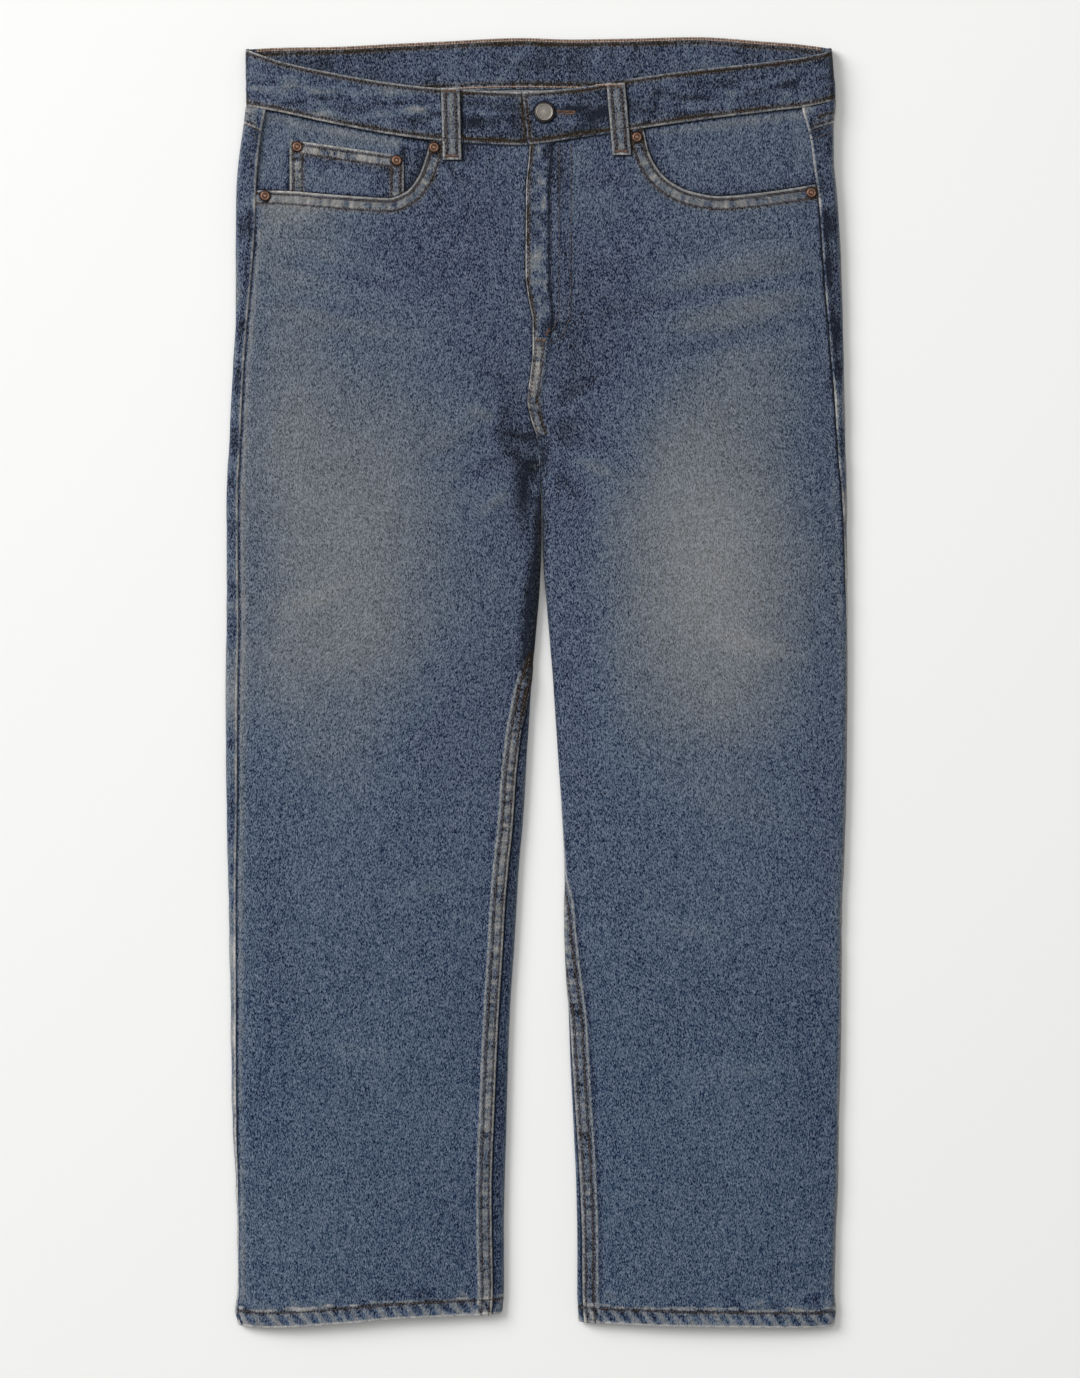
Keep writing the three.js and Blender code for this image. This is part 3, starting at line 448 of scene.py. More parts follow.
# Lines of painted shade in creases and round the crotch (below zero) and of wear along crease tops (above
# zero), in the same columns as the folds
SHADE_AND_WEAR_LINES = named(
    ["x0", "y0", "x1", "y1", "height", "width"],
    [
        [-23, 240, -33, 216, -0.13, 4],
        [-33, 213, -14, 206.5, -0.2, 3],
        [-18, 207, 3, 206.5, -0.24, 3],
        [3, 224, 2, 206, -0.16, 2.6],
        [-34, 211, -27, 197, -0.15, 4],
        [-28, 198, -12, 184, -0.15, 4.5],
        [-9, 183.5, 2, 183, -0.4, 3.4],
        [-13, 186, 2, 178, -0.14, 8],
        [-12, 200, 4, 196, -0.08, 8],
        [-6, 170, -8, 120, -0.06, 12],
        [4, 186, 3, 66, -0.16, 3.5],
        [4, 198, 2.5, 184, -0.16, 2.6],
        [-14, 182, -14, 148, -0.2, 7],
        [-14, 160, -12, 118, -0.09, 8],
        [-9, 199, -2, 190, 0.06, 5],
        [9, 240, 9, 120, -0.03, 4],
        [20, 250, 26, 120, -0.05, 6],
        [6, 214, 60, 160, 0.02, 16],
        [-84, 444, -60, 410, -0.1, 3.5],
        [-74, 444, -56, 424, 0.08, 3],
        [-92, 436, -84, 404, -0.1, 3],
        [52, 322, 236, 352, 0.05, 6],
        [58, 309, 236, 341, -0.05, 6],
        [90, 292, 228, 322, 0.05, 6],
        [100, 276, 220, 300, -0.03, 6],
        [-226, 346, -110, 322, 0.07, 7],
        [-226, 326, -120, 306, -0.05, 6],
        [-228, 312, -100, 288, 0.04, 7],
        [-214, 376, -150, 396, -0.03, 8],
        [-200, -14, -90, 6, -0.02, 12],
        [-190, 362, -95, 332, 0.05, 6],
        [110, -50, 230, -74, -0.02, 14],
    ],
)

# Colours of the cloth from unworn indigo, at 0, to the bare threads of a rubbed edge
DENIM_TONES = [
    (0.0, "#0f1726"),
    (0.1, "#212b3b"),
    (0.2, "#2f394b"),
    (0.3, "#3e485b"),
    (0.37, "#495464"),
    (0.45, "#5a616b"),
    (0.56, "#6f7276"),
    (0.62, "#78797c"),
    (0.8, "#969594"),
    (1.0, "#b5b2ad"),
]

# Linear red, green and blue that a speck, a row of thread and the lower legs' dye add
GRAIN_COLOUR = (0.255, 0.28, 0.32)
WARM_COLOUR = (0.013, 0.001, -0.02)
LOW_COLOUR = (-0.005, 0.001, 0.009)


def linear(hex_colour):
    """An sRGB hex colour as linear red, green, blue and alpha."""
    parts = [int(hex_colour[i : i + 2], 16) / 255 for i in (1, 3, 5)]
    return [c / 12.92 if c <= 0.04045 else ((c + 0.055) / 1.055) ** 2.4 for c in parts] + [1.0]


# The garment's surface
def outline(column, y):
    return look_up(OUTLINE, "y", column, y)


def outseam(side, y):
    return look_up(OUTSEAMS, "y", side, y)


def inseam(side, y):
    return look_up(INSEAMS, "y", side, y)


def waist(column, x):
    return look_up(WAIST, "x", column, x)


def lap_edge(y):
    return look_up(FRONT_LAP, "y", "edge", y)


def lap_width(y):
    return look_up(FRONT_LAP, "y", "width", y)


def outer_x(side, y):
    return SIGN[side] * outline(f"{side}_outer", y)


def inner_x(side, y):
    """The inner end of a half's front: a leg's inner side, or the centre front above it."""
    leg = outline(f"{side}_inner", y)
    centre = lap_edge(y) + (lap_width(y) if side == "right" else 0)
    clear = np.where(y < 215, 0.4 * SIGN[side], 0)
    return mix(leg, centre + clear, smooth((y - CROTCH_Y) / 19))


def valley_x(side, y):
    middle = lap_edge(y) + lap_width(y) / 2
    return np.where(y <= CROTCH_Y, outline(f"{side}_inner", y), middle)


def line_relief(lines, x, y):
    """The height at x, y of soft troughs and ridges along a table of lines."""
    total = np.zeros(np.broadcast(x, y).shape)
    for k in range(len(lines["x0"])):
        x0, y0, x1, y1, height, width = (lines[c][k] for c in lines)
        dx, dy = x1 - x0, y1 - y0
        t = np.clip(((x - x0) * dx + (y - y0) * dy) / (dx * dx + dy * dy), 0, 1)
        away = np.hypot(x - x0 - t * dx, y - y0 - t * dy)
        total = total + height * mix(0.35, 1, np.sin(np.pi * t)) * ridge(away, 0, width)
    return total


def underside(x, y):
    return PATCH_RISE * smooth((232 - np.abs(x)) / 27) * smooth((y - 195) / 30)


def topside(side, x, y):
    """The top of the front, as a single layer would lie."""
    edge = outline("edge", y)
    inner, outer = outline(f"{side}_inner", y), outer_x(side, y)
    share = np.clip((x - inner) / (outer - inner), 0, 1)
    leg_crown = 1 - np.abs(2 * share - 1) ** 3
    body_crown = 1 - np.abs(x / outer) ** 4
    crown = outline("crown", y) * mix(leg_crown, body_crown, smooth((y - CROTCH_Y) / 150))
    up_front = (y - CROTCH_Y) / (VALLEY_TOP_Y - CROTCH_Y)
    depth = 1 - smooth(np.where(y > CROTCH_Y, up_front, (CROTCH_Y - y) / 70))
    away = (x - valley_x(side, y)) / mix(12, 26, smooth(up_front))
    dip = depth * (edge / 2) * np.exp(-(away**2))
    lost = 0.8 * depth * np.exp(-((away / 2) ** 2))
    z = edge + crown * (1 - lost) - dip + line_relief(FOLDS, x, y)
    low = underside(x, y) + 4.2
    return (z + low + np.sqrt((z - low) ** 2 + 0.6)) / 2


def spans(side, y):
    """Lengths of cloth over the top of a half, and all round it."""
    inner, outer = inner_x(side, y), outer_x(side, y)
    under = mix(inner, 1.3 + 0.15 * SIGN[side], smooth((y - CROTCH_Y) / 20))
    over = 2 * ROUND_TOP + np.abs(outer - inner) - INNER_ROUND - OUTER_ROUND
    whole = over + 2 * ROUND_TOP + np.abs(outer - under) - INNER_ROUND - OUTER_ROUND
    return inner, outer, under, over, whole


def section(side, s, y):
    """x and z of the cloth at height y and length s from the inner side, over the top."""
    sign = SIGN[side]
    inner, outer, under, over, whole = spans(side, y)
    s = np.where(s < 0, s + whole, s)
    s = np.where(s > whole, s - whole, s)
    on_top = s <= over
    start = np.where(on_top, inner, under)
    from_inner = np.where(on_top, s, whole - s)
    from_outer = np.abs(s - over)
    in_turn = np.clip(from_inner / ROUND_TOP, 0, 1) * math.pi / 2
    out_turn = np.clip(from_outer / ROUND_TOP, 0, 1) * math.pi / 2
    near_in, near_out = from_inner < ROUND_TOP, from_outer < ROUND_TOP
    run_x = start + sign * (INNER_ROUND + from_inner - ROUND_TOP)
    out_x = outer - sign * OUTER_ROUND * (1 - np.cos(out_turn))
    in_x = start + sign * INNER_ROUND * (1 - np.cos(in_turn))
    x = np.where(near_in, in_x, np.where(near_out, out_x, run_x))
    middle = outline("edge", y) / 2
    top, floor = topside(side, x, y), underside(x, y)
    opened = smooth((y - CROTCH_Y - 2) / 20)
    lift = (middle - floor) * (1 - smooth((y - CROTCH_Y) / 8))
    rolled = mix(middle + (top - middle) * np.sin(in_turn), top, opened)
    in_z = np.where(on_top, rolled, floor + lift * (1 - np.sin(in_turn)))
    flat_z = np.where(on_top, top, floor)
    out_z = middle + (flat_z - middle) * np.sin(out_turn)
    z = np.where(near_in, in_z, np.where(near_out, out_z, flat_z))
    return x, z


def cloth_points(side, s, y):
    """Points of the tube and the directions out of it, each as an array of x, y, z."""
    x, z = section(side, s, y)
    (xa, za), (xb, zb) = section(side, s - 0.4, y), section(side, s + 0.4, y)
    dx, dz = xb - xa, zb - za
    size = np.maximum(np.hypot(dx, dz), 1e-6)
    sign = SIGN[side]
    out = np.stack([-sign * dz / size, np.zeros_like(x), sign * dx / size], -1)
    return np.stack([x, y + 0 * x, z], -1), out


def hem_y(side, x):
    inner, outer = outline(f"{side}_inner", IN_HEM_Y), outer_x(side, IN_HEM_Y)
    return look_up(HEM, "share", side, np.clip((x - inner) / (outer - inner), 0, 1))


def front_span(side, y):
    """Lengths of cloth to a front's lapped edge, to the lap's end and to the outseam."""
    over = spans(side, y)[3]
    on_leg = y <= CROTCH_Y
    start = np.where(on_leg, inseam(side, y), GAP / 2)
    clear = 0.8 if side == "left" else 0
    width = np.where(on_leg, INSEAM_LAP, np.maximum(6, lap_width(y)) + clear)
    return start, start + width, over - outseam(side, y) - GAP / 2


def fell_shown(side, y):
    """1 where the felled inseam lies on top, 0 where it has turned under."""
    return smooth((FELL_SHOWS[side] - y) / 40)


def front_rise(side, y):
    fly = np.clip((y - 195) / 10, 0, 1) if side == "left" else 0
    return LAYER * np.where(y <= CROTCH_Y, fell_shown(side, y), fly)


def mouth_line(side, steps=160):
    """The pocket mouth as points in x and y, from the outseam to the waist seam."""
    mouth = MOUTHS[side]
    x = np.linspace(mouth["x"][0], mouth["x"][-1], steps)
    return np.stack([x, look_up(mouth, "x", "y", x)], -1)


def nearest(x, y, line):
    """Distance to a finely stepped line, and the length along it of the nearest point."""
    distance = np.full(np.broadcast(x, y).shape, FAR)
    along = np.zeros(distance.shape)
    lengths = np.concatenate([[0], np.cumsum(np.linalg.norm(np.diff(line, axis=0), axis=1))])
    for (px, py), length in zip(line, lengths):
        away = np.hypot(x - px, y - py)
        along = np.where(away < distance, length, along)
        distance = np.minimum(away, distance)
    return distance, along


def from_row(distance, row):
    """Distance from a row of sewing, or FAR where there is no such row."""
    return np.where(np.equal(row, FAR), FAR, distance - row)


def sewn_edges(edges):
    """Wear beside the nearest of some sewn edges, each (distance, first row, second row,
    length along it, and how near it wins over the others)."""
    shape = np.broadcast(*[e[0] for e in edges]).shape
    found = {name: np.full(shape, FAR) for name in ("edge", "first", "second")}
    found["along"] = np.zeros(shape)
    for distance, first, second, along, reach in edges:
        wins = (distance < found["edge"]) | (distance < reach)
        found["first"] = np.where(wins, from_row(distance, first), found["first"])
        found["second"] = np.where(wins, from_row(distance, second), found["second"])
        found["along"] = np.where(wins, along, found["along"])
        found["edge"] = np.minimum(distance, found["edge"])
    return found


def loop_gap(side, x, y):
    """Distance from the edge of a front belt loop, less on the side that its shade falls on."""
    place = FRONT_LOOPS[side]
    t = np.clip((y - place["top_y"]) / LOOP["length"] + 1, 0, 1)
    across = x - mix(place["bottom_x"], place["top_x"], t)
    half = LOOP["width"] / 2
    beside = np.where(across > 0, {"right": 0.55, "left": 0.9}[side] * (across - half), -across + 1.3 - half)
    below = place["top_y"] - LOOP["length"] - y
    return np.hypot(np.maximum(beside, 0), np.maximum(below, 0))


def covered(x, y):
    """Distance from the nearest edge of the loops, button and rivets that lie on the front, beside which
    shade is painted.
    """
    gaps = [loop_gap(side, x, y) for side in FRONT_LOOPS]
    gaps.append(np.hypot(x - BUTTON["x"], y - BUTTON["y"]) - BUTTON["radius"])
    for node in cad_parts:
        if node.startswith("rivet_"):
            low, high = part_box(node)
            centre = (low + high) / 2 / MM
            gaps.append(np.hypot(x - centre.x, y - centre.y) - 4.4)
    return np.minimum.reduce(gaps)


# Wear, painted light and shade, and relief of the denim
def undulation(x, y):
    """The unevenness of cloth that was put down by hand."""
    return 0.35 * cloud(x, y, 80, 130, 3) + 0.16 * cloud(x, y, 26, 38, 5)


# The cloth's tone: faded and dark dye, with painted shade in creases, beside the loops and fly and in the
# crotch
def base_tone(x, y):
    tone = PLAIN_TONE + 0.02 * cloud(x, y, 60, 90, 11) + 0.008 * cloud(x, y, 18, 26, 12)
    for k in range(len(FADES_AND_SHADE["x"])):
        cx, cy, across, along, amount = (FADES_AND_SHADE[c][k] for c in FADES_AND_SHADE)
        tone = tone + amount * ridge(x, cx, across) * ridge(y, cy, along)
    return tone + line_relief(SHADE_AND_WEAR_LINES, x, y)


def roping(along, up, seed):
    """The twisted ripples of a hem that shrank, and their worn tops."""
    phase = (along + 0.7 * up) / 11.6 + 0.45 * cloud(along, up, 30, 60, seed)
    return np.sin(2 * math.pi * phase) * ridge(up, 7.5, 5)


def hem_tone(along, up, seed):
    """Dark blocks between the ropes of a hem, over its pale lower edge."""
    wave = roping(along, up, seed)
    strength = 0.75 + 0.6 * cloud(along, up, 70, 60, seed + 1)
    blocks = -0.36 * strength * smooth((-wave - 0.05) / 0.35) + 0.16 * smooth(wave / 0.5)
    return (blocks + 0.06) * (up < HEM_ROW) + 0.2 * ridge(up, 0, 3.6)


def fold_light(side, x, y):
    """Painted light on the rim of cloth that turns down at a side, most where it faces right."""
    outer = np.abs(outer_x(side, y) - x)
    inner = np.abs(outline(f"{side}_inner", y) - x)
    at_outer, at_inner = {"right": (0.1, 0.26), "left": (0.36, 0.12)}[side]
    low = smooth((-50 - y) / 40)
    rim = at_outer * smooth((3.6 - outer) / 3.6)
    return rim + at_inner * low * smooth((4 - inner) / 4)


def pucker(distance, along, seed, pitch=8, reach=7):
    """Small gathers that a row of sewing draws up beside itself."""
    return ridge(distance, 0, reach) * cloud(along, distance, pitch, 3 * reach, seed)


# Meshes
def new_object(name, data):
    made = bpy.data.objects.new(name, data)
    bpy.context.collection.objects.link(made)
    return made


def quads(rows, columns, offset=0):
    index = np.arange(rows * columns).reshape(rows, columns) + offset
    corners = [index[:-1, :-1], index[:-1, 1:], index[1:, 1:], index[1:, :-1]]
    return np.stack([c.ravel() for c in corners], -1)


def outward_mesh(name, points, faces):
    """A mesh of points in millimetres, turned so that its faces point out."""
    mesh = bpy.data.meshes.new(name)
    a, b, c, d = (points[faces[:, k]] for k in range(4))
    volume = np.einsum("ij,ij->", a, np.cross(b, c)) + np.einsum("ij,ij->", a, np.cross(c, d))
    if volume < 0:
        faces = faces[:, ::-1]
    mesh.from_pydata((points * MM).tolist(), [], faces.tolist())
    mesh.shade_smooth()
    return mesh


def shell(name, outer, inner, tone, inner_tone, materials, sewn=None, inner_sewn=None):
    """A piece of cloth between two grids of points, with its wear, its painted light and shade, and a flat
    map of it.
    """
    rows, columns = outer.shape[:2]
    points = np.concatenate([outer.reshape(-1, 3), inner.reshape(-1, 3)])
    count = rows * columns
    grid = np.arange(count).reshape(rows, columns)
    ring = np.concatenate([grid[0], grid[1:, -1], grid[-1, -2::-1], grid[-2:0:-1, 0]])
    after = np.roll(ring, -1)
    rim = np.stack([after, ring, ring + count, after + count], -1)
    faces = np.concatenate([quads(rows, columns), quads(rows, columns, count)[:, ::-1], rim])
    mesh = outward_mesh(name, points, faces)
    add_wear_and_shade(mesh, (tone, inner_tone), (sewn or {}, inner_sewn or {}), (rows, columns))
    for material in materials:
        mesh.materials.append(material)
    if len(materials) > 1:
        inside = np.zeros(len(faces), int)
        inside[(rows - 1) * (columns - 1) : 2 * (rows - 1) * (columns - 1)] = 1
        mesh.polygons.foreach_set("material_index", inside)
    add_flat_map(mesh, outer, faces)
    return new_object(name, mesh)


def add_wear_and_shade(mesh, tones, wear_and_shade, shape):
    """Attributes that the denim reads on each face: its tone, with painted light and shade in it, and
    distances in mm from its sewn edges, from its rows of sewing and from the edge of what covers it, beside
    which shade is painted."""

    def both(pair):
        return np.concatenate([np.broadcast_to(values, shape).ravel() for values in pair])

    def worn(name):
        return both([face.get(name, FAR) for face in wear_and_shade])

    mesh.attributes.new("tone", "FLOAT", "POINT").data.foreach_set("value", both(tones))
    for name in ("edge", "under"):
        mesh.attributes.new(name, "FLOAT", "POINT").data.foreach_set("value", worn(name))
    rows = np.stack([worn(name) for name in ("first", "second", "along")], -1)
    mesh.attributes.new("rows", "FLOAT_VECTOR", "POINT").data.foreach_set("vector", rows.ravel())


def add_flat_map(mesh, outer, faces):
    """A UV map in metres of cloth: lengths along the rows and the columns of the grid."""
    across = np.linalg.norm(np.diff(outer, axis=1), axis=-1)
    up = np.linalg.norm(np.diff(outer, axis=0), axis=-1)
    u = np.pad(np.cumsum(across, axis=1), ((0, 0), (1, 0)))
    v = np.pad(np.cumsum(up, axis=0), ((1, 0), (0, 0)))
    flat = np.stack([u.ravel(), v.ravel()], -1) * MM
    flat = np.concatenate([flat, flat])
    layer = mesh.uv_layers.new(name="cloth")
    loops = np.empty(len(mesh.loops), int)
    mesh.loops.foreach_get("vertex_index", loops)
    layer.data.foreach_set("uv", flat[loops].ravel())


def finish_cloth(piece, node):
    """Puts a sheet of cloth in the root body and hides the solid that it stands for."""
    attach(piece, "root")
    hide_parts(node)


def fine_steps(length, coarse, ends=(0.5, 0.7, 1.0, 1.4)):
    """Distances from 0 to length, close together at both ends."""
    edge = np.cumsum(ends)
    middle = np.linspace(edge[-1], length - edge[-1], max(2, int((length - 2 * edge[-1]) / coarse) + 1))
    return np.concatenate([[0], edge[:-1], middle, length - edge[-2::-1], [length]])


# Fronts
def front_grid(side):
    """Lengths and heights of the front's points, with their distances from its edges."""
    lap = np.array([0, 0.04, 0.1, 0.17, 0.25, 0.35, 0.45, 0.55, 0.65, 0.75, 0.84, 0.92, 1])
    run = fine_steps(226, 2.6, ends=(0.8, 0.9, 1.1, 1.3, 1.6))[1:] / 226
    lap_share = np.concatenate([lap, np.ones(len(run))])
    run_share = np.concatenate([np.zeros(len(lap)), run])

    def length_at(y):
        start, lapped, end = front_span(side, y)
        return mix(start, lapped, lap_share) + (end - lapped) * run_share

    mouth = MOUTHS[side]
    mouth_x = mouth["x"][-1]
    top = np.full(len(lap_share), 455.0)
    for _ in range(12):
        x = section(side, length_at(top), top)[0]
        beyond = np.abs(x) > abs(mouth_x)
        on_seam = waist("front_seam", x) - GAP
        top = np.where(beyond, np.minimum(look_up(mouth, "x", "y", x), on_seam), on_seam)
    low = np.full(len(lap_share), float(IN_HEM_Y))
    bottom = hem_y(side, section(side, length_at(low), low)[0])
    hem_rows = np.array([0, 0.03, 0.09, 0.17, 0.28, 0.4, 0.52, 0.64, 0.76, 0.88])[:, None]
    leg_rows = np.concatenate([[HEM_TOP_Y, -527], np.arange(-525, 400, 2.8)])[:, None]
    top_rows = np.concatenate([np.linspace(0.04, 0.94, 18), [0.97, 0.99, 1]])[:, None]
    y = np.concatenate([
        mix(bottom, HEM_TOP_Y, hem_rows),
        leg_rows + 0 * bottom,
        mix(leg_rows[-1], top, top_rows),
    ])
    return length_at(y), y, bottom, top


def make_front(side, materials):
    s, y, bottom, top = front_grid(side)
    base, out = cloth_points(side, s, y)
    start, lapped, end = front_span(side, y)
    x = base[..., 0]
    in_edge, out_edge, up = s - start, end - s, y - bottom
    from_mouth, along_mouth = nearest(x, y, mouth_line(side))
    from_waist = waist("front_seam", x) - y
    on_leg = y < CROTCH_Y
    fly_side = side == "left"
    lap = lapped - start
    over = 1 - smooth((in_edge - lap) / LAP_RAMP)
    rise = front_rise(side, y) * over
    lapping = (rise > 0.2) & (in_edge < lap + 1)
    felled = (y < FELL_TOP_Y) | (fly_side & (y > FLY_FOOT_Y) & (y < 292))
    on_lap = felled | (fly_side & (y > FLY_FOOT_Y))
    tucked = (y < FELL_TOP_Y) & (fell_shown(side, y) < 0.02)
    lap_distance = np.where(on_lap & ~tucked, in_edge, FAR)
    sewn = sewn_edges([
        (up, HEM_ROW, FAR, x, 0),
        (from_mouth, *MOUTH_ROWS, along_mouth, 0),
        (lap_distance, FELL_ROWS[0], np.where(felled, FELL_ROWS[1], FAR), y, INSEAM_LAP),
    ])
    rimmed = y < FELL_SHOWS[side] + (80 if fly_side else -20)
    far_side = np.where(rimmed, np.abs(in_edge - lap) + 0.7, FAR)
    sewn["edge"] = np.minimum(sewn["edge"], far_side)
    over_hem = HEM_ROW + 2.4 + 1.2 * cloud(x, 0 * x, 11, 9, 25)
    ragged = 0.6 + 0.9 * cloud(x, 0 * x, 5, 9, 26)
    sewn["edge"] = np.minimum(sewn["edge"], np.abs(up - over_hem) + ragged)
    # Painted shade beside what lies over the front: the waistband, the back's lapped outseam, the loops,
    # button and rivets, and the fly's lap
    lapped_side = out_edge + 3 * smooth((4.5 - outseam(side, y)) / 4)
    under = np.minimum(np.minimum(from_waist, lapped_side), covered(x, y))
    if not fly_side:
        under = np.where(y > 200, np.minimum(under, lap_edge(y) - x), under)
    sewn["under"] = under

    relief = undulation(x, y) + line_relief(CREASES, x, y)
    relief = relief + 0.42 * roping(x, up, 21)
    near_hem = ridge(up, 17, 9)
    relief = relief + 0.25 * near_hem * cloud(x + 0.6 * y, y, 7, 16, 23)
    gathers_amount = np.where(on_leg, 1, 0.8 if fly_side else 0.2)
    seam_gathers = pucker(in_edge - 6, y, 31 + fly_side, 9, 6) * gathers_amount
    relief = relief + 0.34 * seam_gathers
    relief = relief + 0.22 * pucker(out_edge, y, 33, 10, 7)
    relief = relief + 0.2 * pucker(from_mouth - 7, x + y, 35, 5.5, 4.5)
    relief = relief + 0.3 * pucker(from_waist, x, 37, 9, 8)
    relief = relief - 0.18 * (ridge(sewn["first"], 0, 0.9) + ridge(sewn["second"], 0, 0.9))
    relief = relief - 0.5 * np.exp(-np.where(far_side < 5, in_edge, sewn["edge"]) / 0.55)
    relief = np.where(s < 0, np.minimum(relief, 0), relief)

    # The tone follows the creases and folds: worn lighter on their tops, with painted shade in their troughs
    tone = base_tone(x, y) + 0.16 * line_relief(CREASES, x, y) + 0.03 * line_relief(FOLDS, x, y)
    tone = tone + hem_tone(x, up, 21)
    tone = tone + 0.16 * near_hem * cloud(x + 0.6 * y, y, 7, 16, 23)
    tone = tone + 0.1 * seam_gathers + 0.06 * pucker(out_edge, y, 33, 10, 7)
    # Painted shade just past the raised edge of the felled seam
    tone = tone - 0.1 * ridge(in_edge, lap + 3.0, 1.8) * (on_lap & (y < FELL_TOP_Y))
    tone = tone + {"right": 0.05, "left": -0.04}[side] * (in_edge < lap) * (y < 150)
    tone = tone + 0.16 * ridge(out_edge, 3.0, 1.6) * (y < 380) * (side == "right")
    tone = tone + 0.05 * ridge(out_edge, 5, 3) * (y < 380) + fold_light(side, x, y)
    if fly_side:
        band = (in_edge < lap) & (y > 215)
        tone = tone + np.where(band, 0.22 * cloud(x, y, 5, 7, 41) + 0.1 * cloud(x, y, 3, 4, 42), 0)
        # Painted shade beside the fly's lapped edge
        tone = tone - 0.3 * ridge(in_edge, lap + 1.2, 1.5) * smooth((y - 270) / 30)
    else:
        # Painted shade where the inner thigh turns down, away from the light
        into = x - look_up(INNER_SHADE, "y", "x", y)
        shade = 0.17 * smooth((into + 7) / 4) + 0.25 * smooth((into + 2) / 4)
        tone = tone - shade * smooth((y + 75) / 30) * (y < 158)

    thick = np.where(y <= HEM_TOP_Y, HEM_WALL, WALL)
    thick = np.where(lapping, WALL, thick)
    outer = base + out * (rise + relief)[..., None]
    inner = base + out * (rise + relief - thick)[..., None]
    piece = shell(f"denim_front_{side}", outer, inner, tone, INSIDE_TONE, materials, sewn)
    finish_cloth(piece, f"front_{side}")
    return piece


# Backs and yokes
def back_lengths(side, y, steps):
    """Lengths of cloth from the outseam, round under the back, to the centre or inseam."""
    _, _, _, over, whole = spans(side, y)
    reach = outseam(side, y)
    on_leg = y <= CROTCH_Y
    lapped = np.where(on_leg, np.clip((BACK_FELL_TOP_Y - y) / 10, 0, 1), 0)
    under_front = np.where(on_leg, inseam(side, y), 0)
    end = whole + under_front + mix(-2 * GAP, INSEAM_LAP - 0.6, lapped)
    turn_to = end - mix(6, INSEAM_LAP - 0.6, lapped)
    marks = [over - reach + GAP / 2, over, over + ROUND_TOP, whole - 2 * ROUND_TOP, turn_to, end]
    parts = [marks[0]]
    for a, b, count in zip(marks, marks[1:], steps):
        parts.extend(mix(a, b, (k + 1) / count) for k in range(count))
    return np.concatenate([np.broadcast_to(p, y.shape[:1] + (1,)) for p in parts], axis=1), over


BACK_STEPS = (12, 6, 38, 12, 5)


def yoke_y(side, length, over, start, whole):
    on_top = mix(YOKE_SEAM["outseam"], YOKE_SEAM["fold"], np.clip((length - start) / (over - start), 0, 1))
    under = mix(YOKE_SEAM["fold"], YOKE_SEAM["centre"], np.clip((length - over) / (whole - over), 0, 1))
    return np.where(length <= over, on_top, under)


def yoke_heights(side):
    """The height of the yoke seam at each of the back's columns."""
    y = np.full((1, 1), float(YOKE_SEAM["centre"]))
    length, over = back_lengths(side, y, BACK_STEPS)
    whole = spans(side, y)[4]
    return yoke_y(side, length, over, length[:, :1], whole)[0]


def column_lengths(side, y):
    """back_lengths for a grid in which each column has its own heights."""
    columns = y.shape[1]
    found = np.empty_like(y)
    for c in range(columns):
        found[:, c] = back_lengths(side, y[:, c : c + 1], BACK_STEPS)[0][:, c]
    return found


def back_wear_and_shade(side, x, y, s, out_edge, up):
    """Relief and tone of the back, with painted shade and light at its folds: what shows beside the outseam,
    and the hidden seat.
    """
    over, whole = spans(side, y)[3:]
    on_top = s < over + 2
    gathers = pucker(out_edge - 2, y, 51, 13, 14)
    patches = 0.13 * cloud(y, x, 30, 24, 58) + 0.1 * cloud(y, x, 12, 9, 59)
    relief = np.where(on_top, 0.5 * gathers + 0.3 * roping(s, up, 52), 0)
    hidden = -0.5 * np.abs(cloud(x, y, 34, 60, 53)) * smooth((s - over - 12) / 20)
    tone = PLAIN_TONE + 0.03 * cloud(x, y, 40, 70, 55) + 0.17 * gathers * on_top
    tone = tone + hem_tone(s, up, 52) + 0.05 * cloud(x, y, 14, 30, 54)
    # Painted shade on the strip of back that shows at the leg's inner side
    tone = tone - 0.04 * ridge(out_edge, 7, 4) - 0.1 * smooth((s - whole + 16) / 8)
    tone = tone - 0.07 * smooth((y - 150) / 100) * on_top * (side == "left")
    tone = tone + (patches - 0.03) * on_top * smooth((y - 100) / 80)
    if side == "right":
        tone = tone + 0.2 * on_top * ridge(y, -290, 90)
    tone = tone - 0.14 * ridge(out_edge, 4.2, 1.5) * on_top * smooth((y - 200) / 60)
    tone = tone + 0.14 * on_top * (side == "right") * smooth((y - 456) / 12)
    tone = tone + fold_light(side, x, y)
    return relief + hidden, tone


